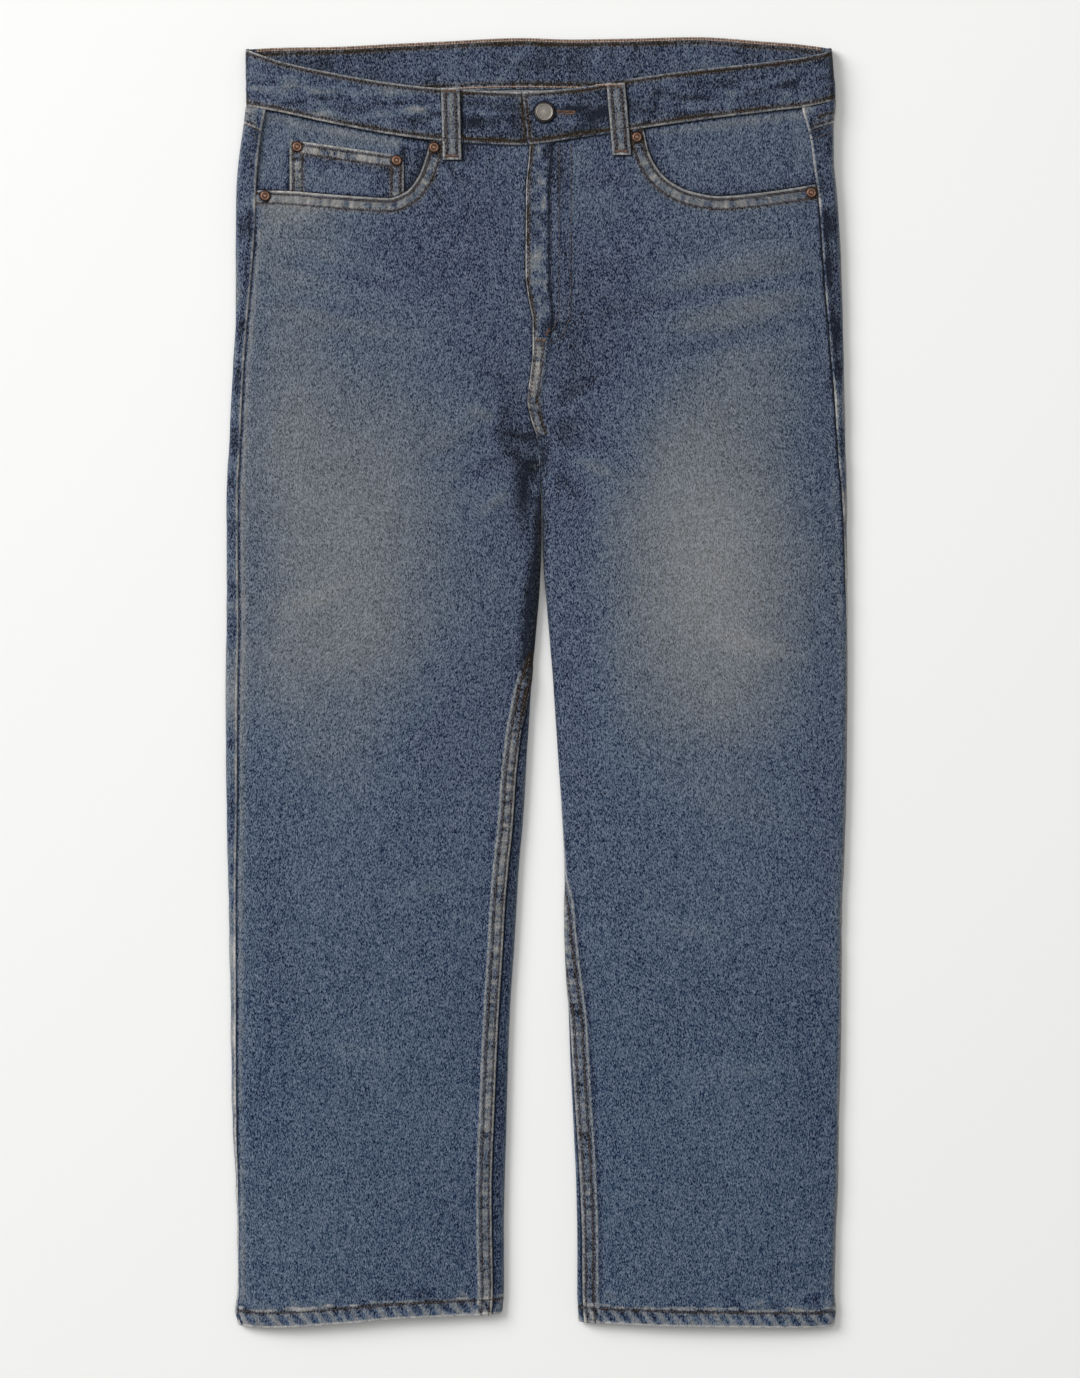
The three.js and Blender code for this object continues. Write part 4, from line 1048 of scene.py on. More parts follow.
def make_back(side, materials):
    yoke = yoke_heights(side)
    low = np.full((1, len(yoke)), float(IN_HEM_Y))
    bottom = hem_y(side, section(side, column_lengths(side, low), low)[0])[0]
    hem_rows = np.array([0, 0.03, 0.1, 0.22, 0.36, 0.5, 0.64, 0.78, 0.9])[:, None]
    leg_rows = np.concatenate([[HEM_TOP_Y, -527], np.arange(-524, 404, 3.2)])[:, None]
    top_rows = np.linspace(0.05, 1, 20)[:, None]
    y = np.concatenate([
        mix(bottom, HEM_TOP_Y, hem_rows),
        leg_rows + 0 * bottom,
        mix(leg_rows[-1], yoke - GAP / 2, top_rows),
    ])
    s = column_lengths(side, y)
    base, out = cloth_points(side, s, y)
    out_edge = s - s[:, :1]
    up = y - bottom
    relief, tone = back_wear_and_shade(side, base[..., 0], y, s, out_edge, up)
    sewn = sewn_edges([(up, HEM_ROW, FAR, base[..., 0], 0), (out_edge, FAR, FAR, y, 0)])
    sewn["edge"] = np.minimum(sewn["edge"], np.abs(up - HEM_ROW - 2.4) + 0.3)
    if side == "right":
        tone = tone + 0.03 * (s < spans(side, y)[3] + 2)
    relief = relief - 0.35 * np.exp(-np.minimum(out_edge, up) / 0.6)
    from_end = s[:, -1:] - s
    relief = np.where(from_end < INSEAM_LAP + 6, np.minimum(relief, 0) * 0.2, relief)
    tucked = np.where(y < BACK_FELL_TOP_Y, 1 - fell_shown(side, y), 0)
    relief = relief - 1.3 * tucked * smooth((INSEAM_LAP + 1 - from_end) / 2.5)
    # Painted shade beside the front's felled edge, which lies over the back
    sewn["under"] = np.where(y < BACK_FELL_TOP_Y, from_end - INSEAM_LAP + 0.6, FAR)
    thick = np.where(y <= HEM_TOP_Y, HEM_WALL, WALL)
    outer = base + out * relief[..., None]
    inner = base + out * (relief - thick)[..., None]
    piece = shell(f"denim_back_{side}", outer, inner, tone, INSIDE_TONE, materials, sewn)
    finish_cloth(piece, f"back_{side}")
    return piece


def make_yoke(side, materials):
    low = yoke_heights(side) + GAP / 2
    shares = fine_steps(45, 2.4) / 45
    y = np.repeat(low[None, :], len(shares), 0)
    for _ in range(4):
        s = column_lengths(side, y)
        x = section(side, s, y)[0]
        over = spans(side, y)[3]
        high = np.where(s < over, waist("front_seam", x), waist("back_seam", x)) - GAP
        y = mix(low, high[-1], shares[:, None])
    s = column_lengths(side, y)
    base, out = cloth_points(side, s, y)
    out_edge = s - s[:, :1]
    up = y - low
    relief, tone = back_wear_and_shade(side, base[..., 0], y, s, out_edge, up + 60)
    relief = relief - 0.35 * np.exp(-np.minimum(out_edge, up) / 0.6)
    tone = tone + 0.08 + 0.1 * pucker(up - 5, s, 57, 6, 5)
    sewn = sewn_edges([(out_edge, FAR, FAR, y, 0), (up, *FELL_ROWS, base[..., 0], 0)])
    outer = base + out * relief[..., None]
    inner = base + out * (relief - WALL)[..., None]
    piece = shell(f"denim_yoke_{side}", outer, inner, tone, INSIDE_TONE, materials, sewn)
    finish_cloth(piece, f"yoke_{side}")
    return piece


# Waistband
# Dark and worn streaks along the middle of the band: x, how it bends, tone and half length
BAND_STREAKS = (
    (-222, 1, -0.14, 9),
    (-190, -2, -0.1, 22),
    (-140, 3, -0.16, 20),
    (-112, 8, 0.1, 26),
    (-96, -9, 0.12, 16),
    (-88, 5, -0.15, 14),
    (38, 6, 0.13, 14),
    (34, -7, -0.12, 12),
    (100, 5, 0.1, 22),
    (120, -3, -0.13, 24),
    (168, 4, 0.08, 30),
    (205, 1, -0.12, 22),
    (222, 7, 0.08, 16),
)


def band_front(x, t, rise):
    y = mix(waist("front_seam", x), waist("front_top", x), t)
    top = np.where(x > 0, topside("left", x, y), topside("right", x, y)) + BAND_PROUD + rise
    return np.stack([x + 0 * t, y, top], -1), np.stack([0 * y, 0 * y, 0 * y + 1], -1)


def band_back(x, t):
    y = mix(waist("back_seam", x), waist("back_top", x), t)
    return np.stack([x + 0 * t, y, underside(x, y)], -1), np.stack([0 * y, 0 * y, 0 * y - 1], -1)


def band_fold(side, turn, t):
    sign, reach, angle = SIGN[side], 7, turn * math.pi
    on_front = turn < 0.5
    end = mix(outer_x(side, 490), outer_x(side, 532), t)
    x = end - sign * (reach - reach * np.sin(angle))
    seam_y = np.where(on_front, waist("front_seam", x), waist("back_seam", x))
    top_y = np.where(on_front, waist("front_top", x), waist("back_top", x))
    y = mix(seam_y, top_y, t)
    half = outline("edge", 505) / 2
    top = topside(side, x, y) + BAND_PROUD
    z = np.where(on_front, mix(half, top, np.cos(angle)), mix(half, 0, -np.cos(angle)))
    out = np.stack([sign * np.sin(angle) + 0 * t, 0 * y, np.cos(angle) + 0 * t], -1)
    return np.stack([x, y, z], -1), out


def make_waistband(materials):
    t = fine_steps(BAND_HEIGHT, 2.1)[:, None] / BAND_HEIGHT
    under_x = np.concatenate([[UNDER_END_X, 27.5, 26.5], np.arange(24, -222, -2.4)])[None, :]
    turns = np.linspace(0, 1, 13)[None, :]
    back_x = np.arange(-225, 225.1, 3)[None, :]
    over_x = np.arange(222, -2.9, -2.4)[None, :]
    tip_x = mix(OVER_END["seam"], OVER_END["top"], t)
    tip = np.concatenate([mix(over_x[:, -1:], tip_x, k) for k in (0.3, 0.6, 0.85, 0.95, 1)], axis=1)
    front_right = band_front(under_x, t, -1.9 * smooth((under_x + 28) / 12.5))
    front_left = band_front(np.concatenate([over_x + 0 * t, tip], axis=1), t, 0)
    xs = front_left[0][..., 0]
    front_left[0][..., 2] += 1.0 * smooth((46 - xs) / 15)
    parts = [
        front_right,
        band_fold("right", turns, t),
        band_back(back_x, t),
        band_fold("left", turns[:, ::-1], t),
        front_left,
    ]
    base = np.concatenate([p[0] for p in parts], axis=1)
    out = np.concatenate([p[1] for p in parts], axis=1)
    x, y = base[..., 0], base[..., 1]
    on_front = out[..., 2] > 0
    from_seam, from_top = t * BAND_HEIGHT + 0 * x, (1 - t) * BAND_HEIGHT + 0 * x
    tip_gap = np.linalg.norm(base - base[:, -1:], axis=-1)
    gathers = cloud(x, y, 26, 4.5, 61) * ridge(from_seam, 20, 15) + 0.7 * pucker(from_seam, x, 62, 7, 8)
    gathers = gathers + 0.6 * cloud(x, y, 9, 12, 63) * ridge(from_seam, 20, 16)
    relief = 0.4 * gathers - 0.2 * ridge(from_seam, 2.2, 0.8) - 0.2 * ridge(from_top, 2.2, 0.8)
    relief = relief - 0.6 * np.exp(-np.minimum(np.minimum(from_top, from_seam), tip_gap) / 0.7)
    shown = np.where(on_front, relief, np.minimum(relief, 0) * 0.4)
    tone = 0.265 + 0.05 * smooth((-x - 70) / 70) - 0.06 * smooth((x - 90) / 60)
    # Painted shade to the right of the right front loop (x -48), and darker round x 45
    tone = tone - 0.1 * ridge(x, -48, 22) - 0.12 * ridge(x, 45, 34)
    tone = tone + 0.12 * ridge(x, -40, 36) * ridge(from_top, 0, 10)
    tone = tone + 0.06 * (0.5 - t) * smooth((x - 80) / 40) * 2
    tone = tone + 0.19 * gathers + 0.08 * cloud(x, y, 60, 9, 67) + 0.12 * ridge(tip_gap, 1, 3.5)
    # Dark lines by both side folds; past x 247.5, painted light on the rim that turns down facing right
    tone = tone - 0.22 * ridge(x, -244.6, 1.4) - 0.24 * ridge(x, 246.6, 1.6)
    tone = tone + 0.08 * ridge(x, -239, 4) + 0.3 * smooth((x - 247.5) / 3)
    for x0, bend, amount, width in BAND_STREAKS:
        streak = ridge(x, x0, width) * ridge(from_seam, 20 + bend * (x - x0) / width, 3.4)
        tone = tone + amount * streak
    within = 0.28 + 0.07 * cloud(x, y, 30, 10, 65) + 0.08 * cloud(x, y, 7, 26, 66)
    within = within - 0.1 * ridge(x, 20, 44) + 0.14 * ridge(x + 0.9 * (from_top - 14), -16, 4)
    within = within + 0.02 * smooth((x - 60) / 40) - 0.05 * smooth((-x - 40) / 60)
    sewn = sewn_edges([
        (from_top + 0.3, BAND_ROW + 0.6, FAR, x, 0),
        (from_seam, BAND_ROW + 0.6, FAR, x, 0),
        (tip_gap, BAND_ROW, FAR, y, 0),
    ])
    # Painted shade beside the loops, button and rivets, and beside the left end's tip where it lies over the
    # right
    under_tip = mix(OVER_END["seam"], OVER_END["top"], t) - x
    on_right = x < OVER_END["seam"] + 4
    sewn["under"] = np.where(on_right, np.minimum(covered(x, y), np.abs(under_tip)), covered(x, y))
    inner_sewn = {"first": from_top - 4.6, "second": from_seam - 4.4, "along": x}
    outer = base + out * shown[..., None]
    inner = base + out * (shown - BAND_WALL)[..., None]
    inner_relief = np.where(on_front, 0, 0.5 * cloud(x, y, 30, 16, 65) * ridge(from_seam, 22, 16))
    inner = inner - out * inner_relief[..., None]
    piece = shell("denim_waistband", outer, inner, tone, within, materials, sewn, inner_sewn)
    finish_cloth(piece, "waistband")
    return piece


# Pocket facings and patches
def make_top_patch(name, side, x, y, depth, tone, relief, node, materials, sewn=None):
    """A patch that lies below (or above) the front's top, on a grid of x and y."""
    z = topside(side, x, y) + depth + relief
    outer = np.stack([x, y, z], -1)
    inner = outer - [0, 0, 0.9]
    piece = shell(name, outer, inner, tone, INSIDE_TONE, materials, sewn)
    finish_cloth(piece, node)
    return piece


def make_facing(side, materials):
    facing = FACINGS[side]
    u = np.linspace(0, 1, 68)[None, :]
    t = np.linspace(0, 1, 42)[:, None]
    x = mix(facing["outer"], facing["inner"], u) + 0 * t
    low = MOUTHS[side]["y"].min() - facing["down"] + 4 * np.cos(math.pi * u)
    y = mix(low, waist("front_seam", x) + 5, t)
    from_mouth = nearest(x, y, mouth_line(side))[0]
    tone = 0.36 + 0.03 * cloud(x, y, 22, 30, 71) - 0.03 * cloud(x, y, 9, 40, 72)
    # Painted shade under the pocket mouth's edge; a rubbed line below the waist seam
    tone = tone - 0.1 * ridge(from_mouth, 0, 7) + 0.1 * ridge(waist("front_seam", x) - y, 5, 4)
    tone = tone - 0.05 * ridge(x, 200, 30) * ridge(y, 430, 20)
    relief = undulation(x, y) * 0.7
    # Painted shade beside the mouth's edge, the waist seam and what lies on the facing
    sewn = {"under": np.minimum(np.minimum(from_mouth, waist("front_seam", x) - y), covered(x, y))}
    if side == "right":
        # Painted shade beside the coin pocket's inner side and round its edges
        tone = tone + 0.02 - 0.16 * smooth((x - COIN["inner"] + 4) / 4)
        beside_coin = np.maximum(COIN["outer"] - x, x - COIN["inner"] + 0.6)
        sewn["under"] = np.minimum(sewn["under"], np.where(y < 450, np.abs(beside_coin), FAR))
    return make_top_patch(
        f"denim_pocket_facing_{side}", side, x, y, -facing["depth"], tone, relief,
        f"pocket_facing_{side}", materials, sewn,
    )


def make_coin_pocket(materials):
    xs = mix(COIN["outer"], COIN["inner"], fine_steps(96, 2.2) / 96)[None, :]
    t = fine_steps(64, 2.2)[:, None] / 64
    share = (xs - COIN["outer"]) / (COIN["inner"] - COIN["outer"])
    high = mix(COIN["outer_top"], COIN["inner_top"], share)
    y = mix(COIN["bottom"], high, t)
    x = xs + 0 * t
    from_top = high - y
    from_side = np.minimum(x - COIN["outer"], COIN["inner"] - x)
    edge = np.minimum(from_top, from_side)
    gathers = pucker(from_top - 6, x, 75, 6, 5) + pucker(from_side - 6, y, 76, 6, 5)
    relief = undulation(x, y) * 0.7 + 0.2 * gathers - 0.4 * np.exp(-edge / 0.5)
    for row in COIN_ROWS:
        relief = relief - 0.16 * ridge(from_top, row, 0.8) - 0.16 * ridge(from_side, row, 0.8)
    tone = 0.36 + 0.14 * gathers + 0.03 * cloud(x, y, 14, 20, 77)
    tone = tone + 0.07 * smooth((12.5 - from_top) / 4) - 0.1 * ridge(from_top, 15, 3)
    tone = tone - 0.09 * smooth((x + 150) / 20)
    sewn = sewn_edges([(from_top, *COIN_ROWS, x, 0), (from_side, *COIN_ROWS, y, 0)])
    from_mouth = nearest(x, y, mouth_line("right"))[0]
    # Painted shade beside the mouth's edge and the rivets
    sewn["under"] = np.minimum(from_mouth, covered(x, y))
    return make_top_patch(
        "denim_coin_pocket", "right", x, y, -1.75, tone, relief, "coin_pocket", materials, sewn,
    )


def make_back_pocket(side, materials):
    """A seat patch that the garment lies on, so its outer face is flat."""
    p = BACK_POCKET
    u = (fine_steps(p["width"], 4) / p["width"] * 2 - 1)[None, :]
    t = fine_steps(p["height"], 4)[:, None] / p["height"]
    width = mix(p["width"], p["low_width"], t)
    top = p["top"] + p["slant"] * u
    bottom = p["top"] - p["height"] - p["point"] * (1 - np.abs(u))
    x = SIGN[side] * (p["centre"] + u * width / 2)
    y = mix(top, bottom, t)
    edge = np.minimum((1 - np.abs(u)) * width / 2, np.minimum(t, 1 - t) * p["height"])
    lift = 0.35 * np.exp(-edge / 0.6)
    outer = np.stack([x, y, lift], -1)
    inner = np.stack([x, y, 0 * x + 1.3], -1)
    tone = 0.38 + 0.1 * pucker(edge - 5, x + y, 79, 7, 5) + 0.06 * ridge(edge, 60, 40)
    sewn = sewn_edges([(edge, *FELL_ROWS, x + y, 0)])
    piece = shell(f"denim_back_pocket_{side}", outer, inner, tone, INSIDE_TONE, materials, sewn)
    finish_cloth(piece, f"back_pocket_{side}")
    return piece


# Belt loops
def loop_profile(u):
    """Height across a loop that is folded in three: rounded edges and a low middle ridge."""
    edge = (0.5 - np.abs(u)) * LOOP["width"]
    return 0.35 * ridge(u, 0, 0.13) - 0.45 * np.exp(-edge / 0.6) + 0.12 * ridge(edge, 1.4, 0.9), edge


def make_front_loop(side, materials):
    place = FRONT_LOOPS[side]
    u = fine_steps(LOOP["width"], 1.1)[None, :] / LOOP["width"] - 0.5
    t = fine_steps(LOOP["length"], 1.6)[:, None] / LOOP["length"]
    x = mix(place["bottom_x"], place["top_x"], t) + u * LOOP["width"]
    y = place["top_y"] - LOOP["length"] * (1 - t) + 0 * u
    stands = mix(0.3, BAND_PROUD + 0.5, smooth((t - 0.1) / 0.2)) + 0.5 * ridge(t, 0.62, 0.2)
    profile, edge = loop_profile(u)
    ends = np.minimum(t, 1 - t) * LOOP["length"]
    relief = profile + 0.16 * cloud(x, y, 5, 6, 81) - 0.4 * np.exp(-ends / 0.6)
    z = topside(side, x, y) + stands + LOOP["wall"] + relief
    outer = np.stack([x, y, z], -1)
    inner = outer - [0, 0, LOOP["wall"]]
    tone = 0.34 + 0.2 * ridge(u, 0, 0.1) + 0.08 * cloud(x, y, 5, 6, 81)
    sewn = sewn_edges([(np.minimum(edge + 0 * t, ends), LOOP_ROW, FAR, y, 0)])
    piece = shell(
        f"denim_belt_loop_front_{side}", outer, inner, tone + 0 * x, INSIDE_TONE, materials, sewn
    )
    finish_cloth(piece, f"belt_loop_front_{side}")
    return piece


def make_back_loop(name, centre, materials):
    u = fine_steps(LOOP["width"], 1.4)[None, :] / LOOP["width"] - 0.5
    t = fine_steps(LOOP["length"], 2.4)[:, None] / LOOP["length"]
    x = centre + u * LOOP["width"] + 0 * t
    y = waist("back_top", centre) - 1 - LOOP["length"] * t + 0 * u
    profile, edge = loop_profile(u)
    outer = np.stack([x, y, np.maximum(0.3 - profile, 0) * 0.6 + 0 * x], -1)
    inner = np.stack([x, y, 0 * x + 1.4], -1)
    tone = 0.3 + 0.16 * ridge(u, 0, 0.1) + 0.1 * cloud(x, y, 5, 6, 83)
    sewn = sewn_edges([(edge + 0 * t, LOOP_ROW, FAR, y, 0)])
    piece = shell(f"denim_belt_loop_back_{name}", outer, inner, tone, INSIDE_TONE, materials, sewn)
    finish_cloth(piece, f"belt_loop_back_{name}")
    return piece


# Sewing
def cloth_tree(pieces):
    """A tree of all the cloth's faces, for finding where a needle would meet it."""
    points, faces, count = [], [], 0
    for piece in pieces:
        mesh = piece.data
        points.extend(v.co for v in mesh.vertices)
        faces.extend([i + count for i in p.vertices] for p in mesh.polygons)
        count += len(mesh.vertices)
    return BVHTree.FromPolygons(points, faces)


def sew(tree, line, above, step):
    """Lays a line in x and y on the cloth, seen from above or below, in unbroken runs."""
    line = np.asarray(line, float)
    lengths = np.concatenate([[0], np.cumsum(np.linalg.norm(np.diff(line, axis=0), axis=1))])
    at = np.arange(0, lengths[-1], step)
    xs, ys = np.interp(at, lengths, line[:, 0]), np.interp(at, lengths, line[:, 1])
    way = -1 if above else 1
    lift = LIFT_ON_TOP if above else LIFT_BELOW
    runs, run = [], []
    for x, y in zip(xs, ys):
        hit = tree.ray_cast(Vector((x * MM, y * MM, -way * 0.1)), Vector((0, 0, way)))[0]
        if hit is None or (run and abs(hit.z - run[-1].z) > 1.2 * MM):
            if len(run) > 2:
                runs.append(run)
            run = []
        if hit is not None:
            run.append(hit + Vector((0, 0, -way * lift * MM)))
    if len(run) > 2:
        runs.append(run)
    return runs


def along_front(side, distance, y, from_outer=False):
    """A line on a front at a distance from its inner (or outer) edge."""
    start, _, end = front_span(side, y)
    s = end - distance if from_outer else start + distance
    line = np.stack([section(side, s, y)[0], y], -1)
    return line[(s > 1.5) & (fell_shown(side, y) > 0.3)]


def offset_line(line, distance):
    """A line in x and y moved sideways, to the left of its direction."""
    step = np.gradient(line, axis=0)
    normal = np.stack([-step[:, 1], step[:, 0]], -1)
    return line + normal / np.linalg.norm(normal, axis=1, keepdims=True) * distance


def seam_lines():
    """Each row of topstitching as a line in x and y, and whether it is seen from above."""
    lines = []
    for side in ("right", "left"):
        sign = SIGN[side]
        leg = np.arange(-540, 150, 4.0)
        for distance in FELL_ROWS:
            lines.append((along_front(side, distance, leg), True))
        mouth = mouth_line(side)
        for distance in MOUTH_ROWS:
            lines.append((offset_line(mouth, sign * distance), True))
        inner, outer = outline(f"{side}_inner", IN_HEM_Y), outer_x(side, IN_HEM_Y)
        across = np.linspace(inner + 3 * sign, outer - 3 * sign, 60)
        for above in (True, False):
            lines.append((np.stack([across, hem_y(side, across) + HEM_ROW], -1), above))
        for distance in (2.2, 8.0):
            lines.append((yoke_line(side, distance), False))
            lines.append((yoke_corner(side, distance), True))
    fly = np.arange(452, 292, -4.0)
    lines.append((np.stack([lap_edge(fly) + 2.4, fly], -1), True))
    for out in (0, 9.5):
        lines.append((fly_curve(out), True))
    low = np.arange(286, 206, -4.0)
    for distance in (2.2, 8.6):
        lines.append((np.stack([lap_edge(low) + distance, low], -1), True))
    rise = np.arange(200, 430, 4.0)
    for x in (3.6, 9.6):
        lines.append((np.stack([x + 0 * rise, rise], -1), False))
    lines.extend(band_lines())
    lines.extend(patch_lines())
    return lines


def yoke_line(side, distance):
    x = np.linspace(3, 236, 60)
    share = np.clip(x / 244, 0, 1)
    return np.stack([SIGN[side] * x, mix(YOKE_SEAM["centre"], YOKE_SEAM["fold"], share) + distance], -1)


def yoke_corner(side, distance):
    ends = {"right": (-232, -246), "left": (226, 249)}[side]
    x = np.linspace(*ends, 12)
    share = np.linspace(0, 1, 12)
    return np.stack([x, mix(YOKE_SEAM["outseam"], YOKE_SEAM["fold"], share) + distance - 10], -1)


def fly_curve(out):
    """The double row that holds the fly's facing, curved in at its foot."""
    down = np.arange(450, 318, -4.0)
    straight = np.stack([17.5 + out + 0 * down, down], -1)
    turn = np.linspace(0, math.pi / 2, 12)[1:]
    reach = 11 + out
    foot = np.stack([6.5 + reach * np.cos(turn), 318 - (24 + out) * np.sin(turn)], -1)
    return np.concatenate([straight, foot])


def inside_lines():
    """The lighter chain stitches that show inside the back of the waist."""
    top_x = np.linspace(-236, 238, 150)
    foot_x = np.linspace(-84, 62, 60)
    foot = np.stack([foot_x, waist("back_seam", foot_x) + 2.0], -1)
    edges = [np.stack([top_x, waist("back_top", top_x) - down], -1) for down in (0.8, 2.2)]
    return [(line, True) for line in (*edges, foot)]


def band_lines():
    lines = []
    front_x = np.concatenate([np.linspace(-240, -20, 80), np.linspace(-5, 240, 90)])
    for column, way in (("front_top", -1), ("front_seam", 1)):
        for piece in (front_x[:80], front_x[80:]):
            lines.append((np.stack([piece, waist(column, piece) + 2.2 * way], -1), True))
    back_x = np.linspace(-236, 236, 150)
    for column, way in (("back_top", -1), ("back_seam", 1)):
        lines.append((np.stack([back_x, waist(column, back_x) + 2.2 * way], -1), False))
    t = np.linspace(0.06, 0.94, 12)
    tip_x = mix(OVER_END["seam"], OVER_END["top"], t) + 2.4
    tip_y = mix(waist("front_seam", tip_x), waist("front_top", tip_x), t)
    lines.append((np.stack([tip_x, tip_y], -1), True))
    return lines


def patch_lines():
    lines = []
    for side, place in FRONT_LOOPS.items():
        t = np.linspace(0.05, 0.95, 14)
        for u in (-0.26, 0.26):
            x = mix(place["bottom_x"], place["top_x"], t) + u * LOOP["width"]
            lines.append((np.stack([x, place["top_y"] - LOOP["length"] * (1 - t)], -1), True))
    for centre in BACK_LOOPS.values():
        y = waist("back_top", centre) - 1 - np.linspace(3, LOOP["length"] - 3, 14)
        for u in (-0.26, 0.26):
            lines.append((np.stack([centre + u * LOOP["width"] + 0 * y, y], -1), False))
    coin_x = np.linspace(COIN["outer"] + 2, COIN["inner"] - 2, 30)
    share = (coin_x - COIN["outer"]) / (COIN["inner"] - COIN["outer"])
    for down in (3.4, 10.2):
        high = mix(COIN["outer_top"], COIN["inner_top"], share) - down
        lines.append((np.stack([coin_x, high], -1), True))
        for edge, way, top in ((COIN["outer"], 1, "outer_top"), (COIN["inner"], -1, "inner_top")):
            y = np.linspace(COIN[top] - 2, 413, 14)
            lines.append((np.stack([edge + way * down + 0 * y, y], -1), True))
    p = BACK_POCKET
    for side in SIGN:
        corners = []
        inset = 3
        for u, top in ((-1, True), (-1, False), (0, False), (1, False), (1, True)):
            width = (p["width"] if top else p["low_width"]) / 2 - inset
            y = p["top"] + p["slant"] * u - inset if top else p["top"] - p["height"] + inset
            y = y - (p["point"] if u == 0 else 0)
            corners.append([SIGN[side] * (p["centre"] + u * width), y])
        lines.append((np.array(corners), False))
    return lines


BAR_TACKS = named(
    ["x", "y", "turn", "length"],
    [
        [-74, 496, 0, 11],
        [-72.6, 441.8, 0, 11],
        [64.6, 500, 0, 11],
        [69.6, 445.6, 0, 11],
        [2.4, 287.4, 0, 9],
        [7.5, 294.5, 1.2, 7],
    ],
)


def tack_lines():
    lines = []
    for k in range(len(BAR_TACKS["x"])):
        x, y, turn, length = (BAR_TACKS[c][k] for c in BAR_TACKS)
        reach = np.linspace(-length / 2, length / 2, 8)
        lines.append((np.stack([x + reach * math.cos(turn), y + reach * math.sin(turn)], -1), True))
    return lines


def add_node(tree, kind, inputs=(), **settings):
    """Adds a node with its settings, and sets or links its inputs by name or number."""
    made = tree.nodes.new(kind)
    for key, value in settings.items():
        setattr(made, key, value)
    for key, value in dict(inputs).items():
        if isinstance(value, bpy.types.NodeSocket):
            tree.links.new(value, made.inputs[key])
        else:
            made.inputs[key].default_value = value
    return made


STITCH_INPUTS = {
    "Pitch": ("NodeSocketFloat", 0.0032),
    "Length": ("NodeSocketFloat", 0.0024),
    "Thickness": ("NodeSocketFloat", 0.0007),
    "Across": ("NodeSocketFloat", 0.0),
    "Seed": ("NodeSocketInt", 7),
    "Thread": ("NodeSocketMaterial", None),
}


def stitch_tree():
    """Geometry nodes that set a stitch at each step of a line."""
    tree = bpy.data.node_groups.new("topstitch", "GeometryNodeTree")
    tree.interface.new_socket("Geometry", in_out="INPUT", socket_type="NodeSocketGeometry")
    for name, (kind, default) in STITCH_INPUTS.items():
        socket = tree.interface.new_socket(name, in_out="INPUT", socket_type=kind)
        if default is not None:
            socket.default_value = default
    tree.interface.new_socket("Geometry", in_out="OUTPUT", socket_type="NodeSocketGeometry")
    given = add_node(tree, "NodeGroupInput").outputs
    lines = add_node(tree, "GeometryNodeMeshToCurve", {"Mesh": given["Geometry"]})
    steps = add_node(
        tree, "GeometryNodeResampleCurve", {"Curve": lines.outputs[0], "Length": given["Pitch"]},
        mode="LENGTH",
    )
    upright = add_node(tree, "GeometryNodeSetCurveNormal", {"Curve": steps.outputs[0]}, mode="Z_UP")
    points = add_node(
        tree, "GeometryNodeCurveToPoints", {"Curve": upright.outputs[0]}, mode="EVALUATED"
    )
    sizes = add_node(
        tree, "ShaderNodeCombineXYZ",
        {"X": given["Thickness"], "Y": given["Thickness"], "Z": given["Length"]},
    )
    bead = add_node(
        tree, "GeometryNodeMeshUVSphere", {"Segments": 6, "Rings": 4, "Radius": 0.5}
    )
    turned = add_node(
        tree, "ShaderNodeCombineXYZ", {"Y": given["Across"]}
    )
    stitch = add_node(
        tree, "GeometryNodeTransform", {"Geometry": bead.outputs[0], "Scale": sizes.outputs[0]}
    )
    laid = add_node(
        tree, "GeometryNodeTransform", {"Geometry": stitch.outputs[0], "Rotation": turned.outputs[0]}
    )
    uneven = add_node(
        tree, "FunctionNodeRandomValue",
        {"Min": (0.85, 0.85, 0.88), "Max": (1.1, 1.1, 1.08), "Seed": given["Seed"]},
        data_type="FLOAT_VECTOR",
    )
    placed = add_node(
        tree, "GeometryNodeInstanceOnPoints",
        {
            "Points": points.outputs["Points"],
            "Instance": laid.outputs[0],
            "Rotation": points.outputs["Rotation"],
            "Scale": uneven.outputs[0],
        },
    )
    real = add_node(tree, "GeometryNodeRealizeInstances", {"Geometry": placed.outputs[0]})
    soft = add_node(tree, "GeometryNodeSetShadeSmooth", {"Geometry": real.outputs[0]})
    painted = add_node(
        tree, "GeometryNodeSetMaterial", {"Geometry": soft.outputs[0], "Material": given["Thread"]}
    )
    add_node(tree, "NodeGroupOutput", {"Geometry": painted.outputs[0]})
    return tree


def make_stitches(name, runs, values):
    """One mesh of all the stitches along these runs."""
    points, edges = [], []
    for run in runs:
        first = len(points)
        points.extend(run)
        edges.extend((i, i + 1) for i in range(first, len(points) - 1))
    mesh = bpy.data.meshes.new(name + "_lines")
    mesh.from_pydata(points, edges, [])
    lines = new_object(name + "_lines", mesh)
    tree = stitch_tree()
    modifier = lines.modifiers.new("topstitch", "NODES")
    modifier.node_group = tree
    for item in tree.interface.items_tree:
        if item.in_out == "INPUT" and item.name in values:
            modifier[item.identifier] = values[item.name]
    graph = bpy.context.evaluated_depsgraph_get()
    result = bpy.data.meshes.new_from_object(lines.evaluated_get(graph))
    bpy.data.objects.remove(lines)
    if not result.vertices:
        raise RuntimeError(f"{name}: the lines gave no stitches")
    piece = new_object(name, result)
    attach(piece, "root")
    return piece


